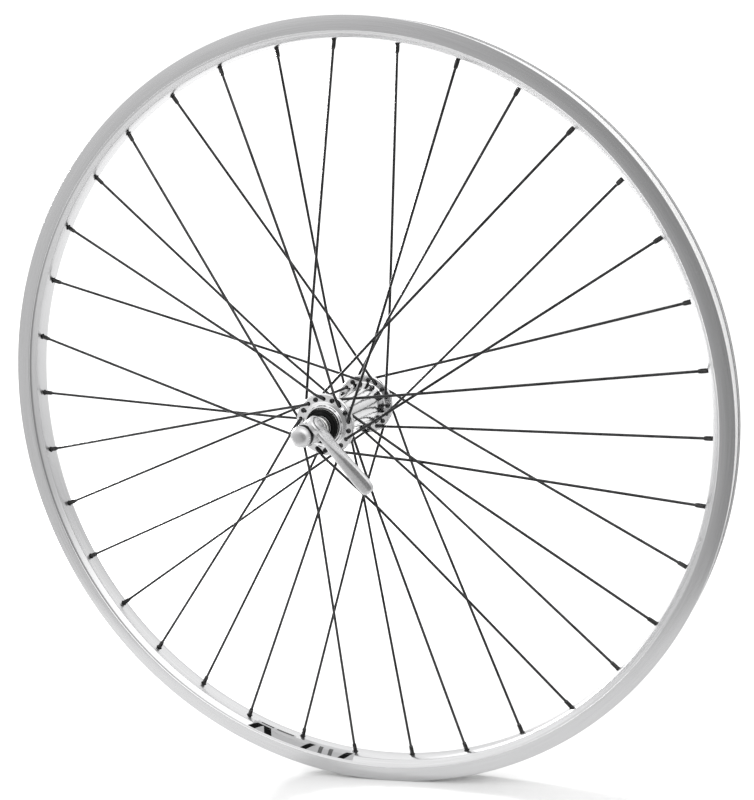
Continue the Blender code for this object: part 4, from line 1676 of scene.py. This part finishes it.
    def build_nut(self) -> None:
        """The adjusting nut with its finger scallops, and the nylon ring that stops it shaking loose."""
        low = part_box("adjusting_nut")[0].y
        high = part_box("adjusting_nut")[1].y
        bore = self.rod + self.clearance
        outline = [
            (0.0058, high),
            (0.0072, high - 0.0015),
            (0.0078, low + 0.0060),
            (0.0092, low + 0.0035),
            (0.0092, low),
            (self.recess, low),
            (self.recess, low + self.recess_depth),
            (bore, low + self.recess_depth),
            (bore, high - 0.0030),
            (0.0046, high - 0.0030),
            (0.0046, high),
        ]
        nut = finished_mesh("nut", turned_shape([eased(outline, 0.0005, 4)], self.steps))
        scallops = []
        for index in range(self.nut_scallops):
            place = polar(0.0107, 30 + index * 360 / self.nut_scallops, low + 0.0052)
            rings = []
            for y, size in ((0.0, 0.0036), (0.0004, 0.0040), (0.0010, 0.0042), (0.020, 0.0042)):
                rings.append([place + polar(size, 360 * step / 32, y) for step in range(32)])
            scallops.append(lofted_shape(rings))
        self.place("adjusting_nut_fine", cut(nut, merged(scallops)), HOUSING_ALLOY, "nut", "adjusting_nut")
        ring = eased([(bore - 0.0001, high - 0.0028), (0.0045, high - 0.0028), (0.0045, high - 0.0004),
                      (bore - 0.0001, high - 0.0004)], 0.0003, 3)
        self.turned("adjusting_nut_nylon", ring, 64, NUT_NYLON, "nut", "adjusting_nut")

    def build_spring(self, side: Side, body: str) -> None:
        """A conical spring from the axle's end to the recess of a clamp face, both end coils lying flat."""
        wire = self.spring_wire
        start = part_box("axle")[1].y + wire + self.clearance
        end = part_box("adjusting_nut")[0].y + self.recess_depth - wire - self.clearance
        small = self.rod + wire + 0.0005
        large = self.recess - wire - 0.0004
        count = 144
        points = []
        for index in range(count + 1):
            share = index / count
            level = min(max((share - 0.06) / 0.88, 0.0), 1.0)
            y = side.value * (start + (end - start) * level)
            points.append(polar(small + (large - small) * share, share * self.spring_turns * 360, y))
        shape = lofted_shape(swept_rings(points, [wire] * len(points), 12))
        name = f"spring_{side.word}"
        self.place(f"{name}_coil", finished_mesh(name, shape, 50), SPRING_STEEL, body, name)

    def build(self) -> None:
        """Every piece of the skewer."""
        self.build_housing()
        self.build_ring()
        self.build_lever()
        self.build_cap()
        self.build_rod()
        self.build_nut()
        self.build_spring(Side.NEAR, "axle_set")
        self.build_spring(Side.FAR, "nut_carrier")


# Studio

@dataclass(frozen=True)
class Studio:
    """A white room: pale floor, soft light and the camera."""

    floor_z: float
    camera_at: tuple[float, float, float] = (0.45766, -0.94614, 0.17838)
    camera_right: tuple[float, float, float] = (0.91044, 0.39040, -0.13672)
    camera_up: tuple[float, float, float] = (0.05991, 0.20258, 0.97743)
    focal_length: float = 64.89
    floor_reach: float = 8.0
    floor_front: float = 0.40
    floor_tones: tuple[float, float] = (0.68, 0.71)
    # Painted light: the floor's paler tone to the left stands in for a pool of light there.
    pale_tone: float = 0.91
    pale_from: float = -0.40
    pale_to: float = -0.80
    background: float = 1.3
    light_at: tuple[float, float, float] = (-1.05, 0.60, 0.42)
    light_size: float = 0.18
    light_power: float = 16.0

    def build_camera(self) -> None:
        """A camera near the lever's side, a little above the axle."""
        data = bpy.data.cameras.new("camera")
        data.lens = self.focal_length
        data.sensor_width = 36.0
        data.sensor_fit = "AUTO"
        data.clip_start = 0.01
        data.clip_end = 60.0
        data.dof.use_dof = False
        camera = bpy.data.objects.new("camera", data)
        bpy.context.scene.collection.objects.link(camera)
        right = Vector(self.camera_right)
        up = Vector(self.camera_up)
        back = right.cross(up).normalized()
        axes = Matrix((right.normalized(), up.normalized(), back)).transposed().to_4x4()
        camera.matrix_world = Matrix.Translation(self.camera_at) @ axes
        bpy.context.scene.camera = camera

    def build_floor(self) -> None:
        """A broad floor under the rim, its front edge not far before the wheel, and painted paler to the left
        as a pool of light.
        """
        shape = bmesh.new()
        bmesh.ops.create_grid(shape, x_segments=1, y_segments=1, size=self.floor_reach)
        floor = new_object("studio_floor", finished_mesh("studio_floor", shape))
        floor.location = (0.0, self.floor_reach - self.floor_front, self.floor_z)
        paint = bpy.data.materials.new("studio_white_paint")
        paint.use_nodes = True
        nodes = Nodes(paint.node_tree)
        shader = nodes.surface()
        place = nodes.place()
        low, high = self.floor_tones
        tone = nodes.mix(nodes.noise(place, 3.0, 2.0), grey(low), grey(high))
        x, _, _ = nodes.separate(place)
        # Painted light: paler towards the left, a painted pool of light.
        lit_pool = nodes.ranged(x, self.pale_from, self.pale_to, 0.0, 1.0)
        nodes.join(nodes.mix(lit_pool, tone, grey(self.pale_tone)), shader.inputs["Base Color"])
        shader.inputs["Roughness"].default_value = 0.9
        shader.inputs["Specular IOR Level"].default_value = 0.0
        floor.data.materials.append(paint)
        floor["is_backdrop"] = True

    def build_world(self) -> None:
        """A bright room with a dim patch behind the camera, and plain white to the camera itself."""
        world = bpy.data.worlds.new("studio")
        bpy.context.scene.world = world
        world.use_nodes = True
        nodes = Nodes(world.node_tree)
        place = nodes.add("ShaderNodeTexCoord").outputs["Generated"]
        _, _, z = nodes.separate(place)

        def towards(direction: tuple[float, float, float], far: float, near: float) -> bpy.types.NodeSocket:
            """A soft round patch of the room: 1 in this direction, 0 where the cosine drops to far."""
            product = nodes.add("ShaderNodeVectorMath", operation="DOT_PRODUCT")
            nodes.join(place, product.inputs[0])
            product.inputs[1].default_value = Vector(direction).normalized()
            return nodes.ranged(product.outputs["Value"], far, near, 0.0, 1.0)

        level = nodes.ranged(z, 0.02, 0.55, 0.90, 1.50)
        window = nodes.math("MULTIPLY", towards((0.45, -0.60, 0.65), 0.78, 0.97), 0.7)
        left = nodes.math("MULTIPLY", towards((-1.0, 0.1, -0.1), 0.90, 0.99), 0.3)
        level = nodes.math("ADD", nodes.math("ADD", level, window), left)
        dim = nodes.math("MULTIPLY", towards((0.20, -0.98, -0.02), 0.78, 0.92), 0.58)
        level = nodes.math("MULTIPLY", level, nodes.math("SUBTRACT", 1.0, dim))
        room = nodes.add("ShaderNodeBackground")
        nodes.join(level, room.inputs["Strength"])
        white = nodes.add("ShaderNodeBackground")
        white.inputs["Strength"].default_value = self.background
        for background in (room, white):
            background.inputs["Color"].default_value = grey(1.0)
        seen = nodes.add("ShaderNodeLightPath").outputs["Is Camera Ray"]
        blend = nodes.add("ShaderNodeMixShader")
        nodes.join(seen, blend.inputs[0])
        nodes.join(room.outputs[0], blend.inputs[1])
        nodes.join(white.outputs[0], blend.inputs[2])
        output = nodes.add("ShaderNodeOutputWorld")
        nodes.join(blend.outputs[0], output.inputs["Surface"])

    def build_light(self, name: str, aim: Sequence[float]) -> None:
        """The square soft light behind the wheel on the left, aimed at a point."""
        data = bpy.data.lights.new(name, "AREA")
        data.shape = "SQUARE"
        data.size = self.light_size
        data.energy = self.light_power
        light = bpy.data.objects.new(name, data)
        bpy.context.scene.collection.objects.link(light)
        at = Vector(self.light_at)
        light.matrix_world = along(at - Vector(aim), at)

    def build(self) -> None:
        """The whole room."""
        scene = bpy.context.scene
        scene.view_settings.view_transform = "Standard"
        self.build_camera()
        self.build_floor()
        self.build_world()
        self.build_light("key_light", (0.05, 0.0, self.floor_z))


def remove_startup_objects() -> None:
    """Clears whatever the new file holds."""
    for obj in list(bpy.data.objects):
        bpy.data.objects.remove(obj, do_unlink=True)


def main() -> None:
    """Builds every sub-assembly around the frame, then the room."""
    logging.basicConfig(level=logging.INFO, format="%(name)s %(message)s", stream=sys.stdout)
    remove_startup_objects()
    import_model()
    frame_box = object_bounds()
    build_worked_grain()
    build_handling_marks()
    build_edge_wear()
    rim = Rim()
    lacing = Lacing(rim=rim)
    assemblies: list[Assembly] = [
        rim,
        lacing,
        Hub(lacing=lacing),
        BearingSet(side=Side.NEAR),
        BearingSet(side=Side.FAR),
        Spindle(),
        QuickRelease(),
    ]
    for assembly in assemblies:
        assembly.build()
        LOG.info("%s: %d pieces", type(assembly).__name__, len(assembly.pieces))
    Studio(floor_z=frame_box[0][2]).build()


if __name__ == "__main__":
    main()
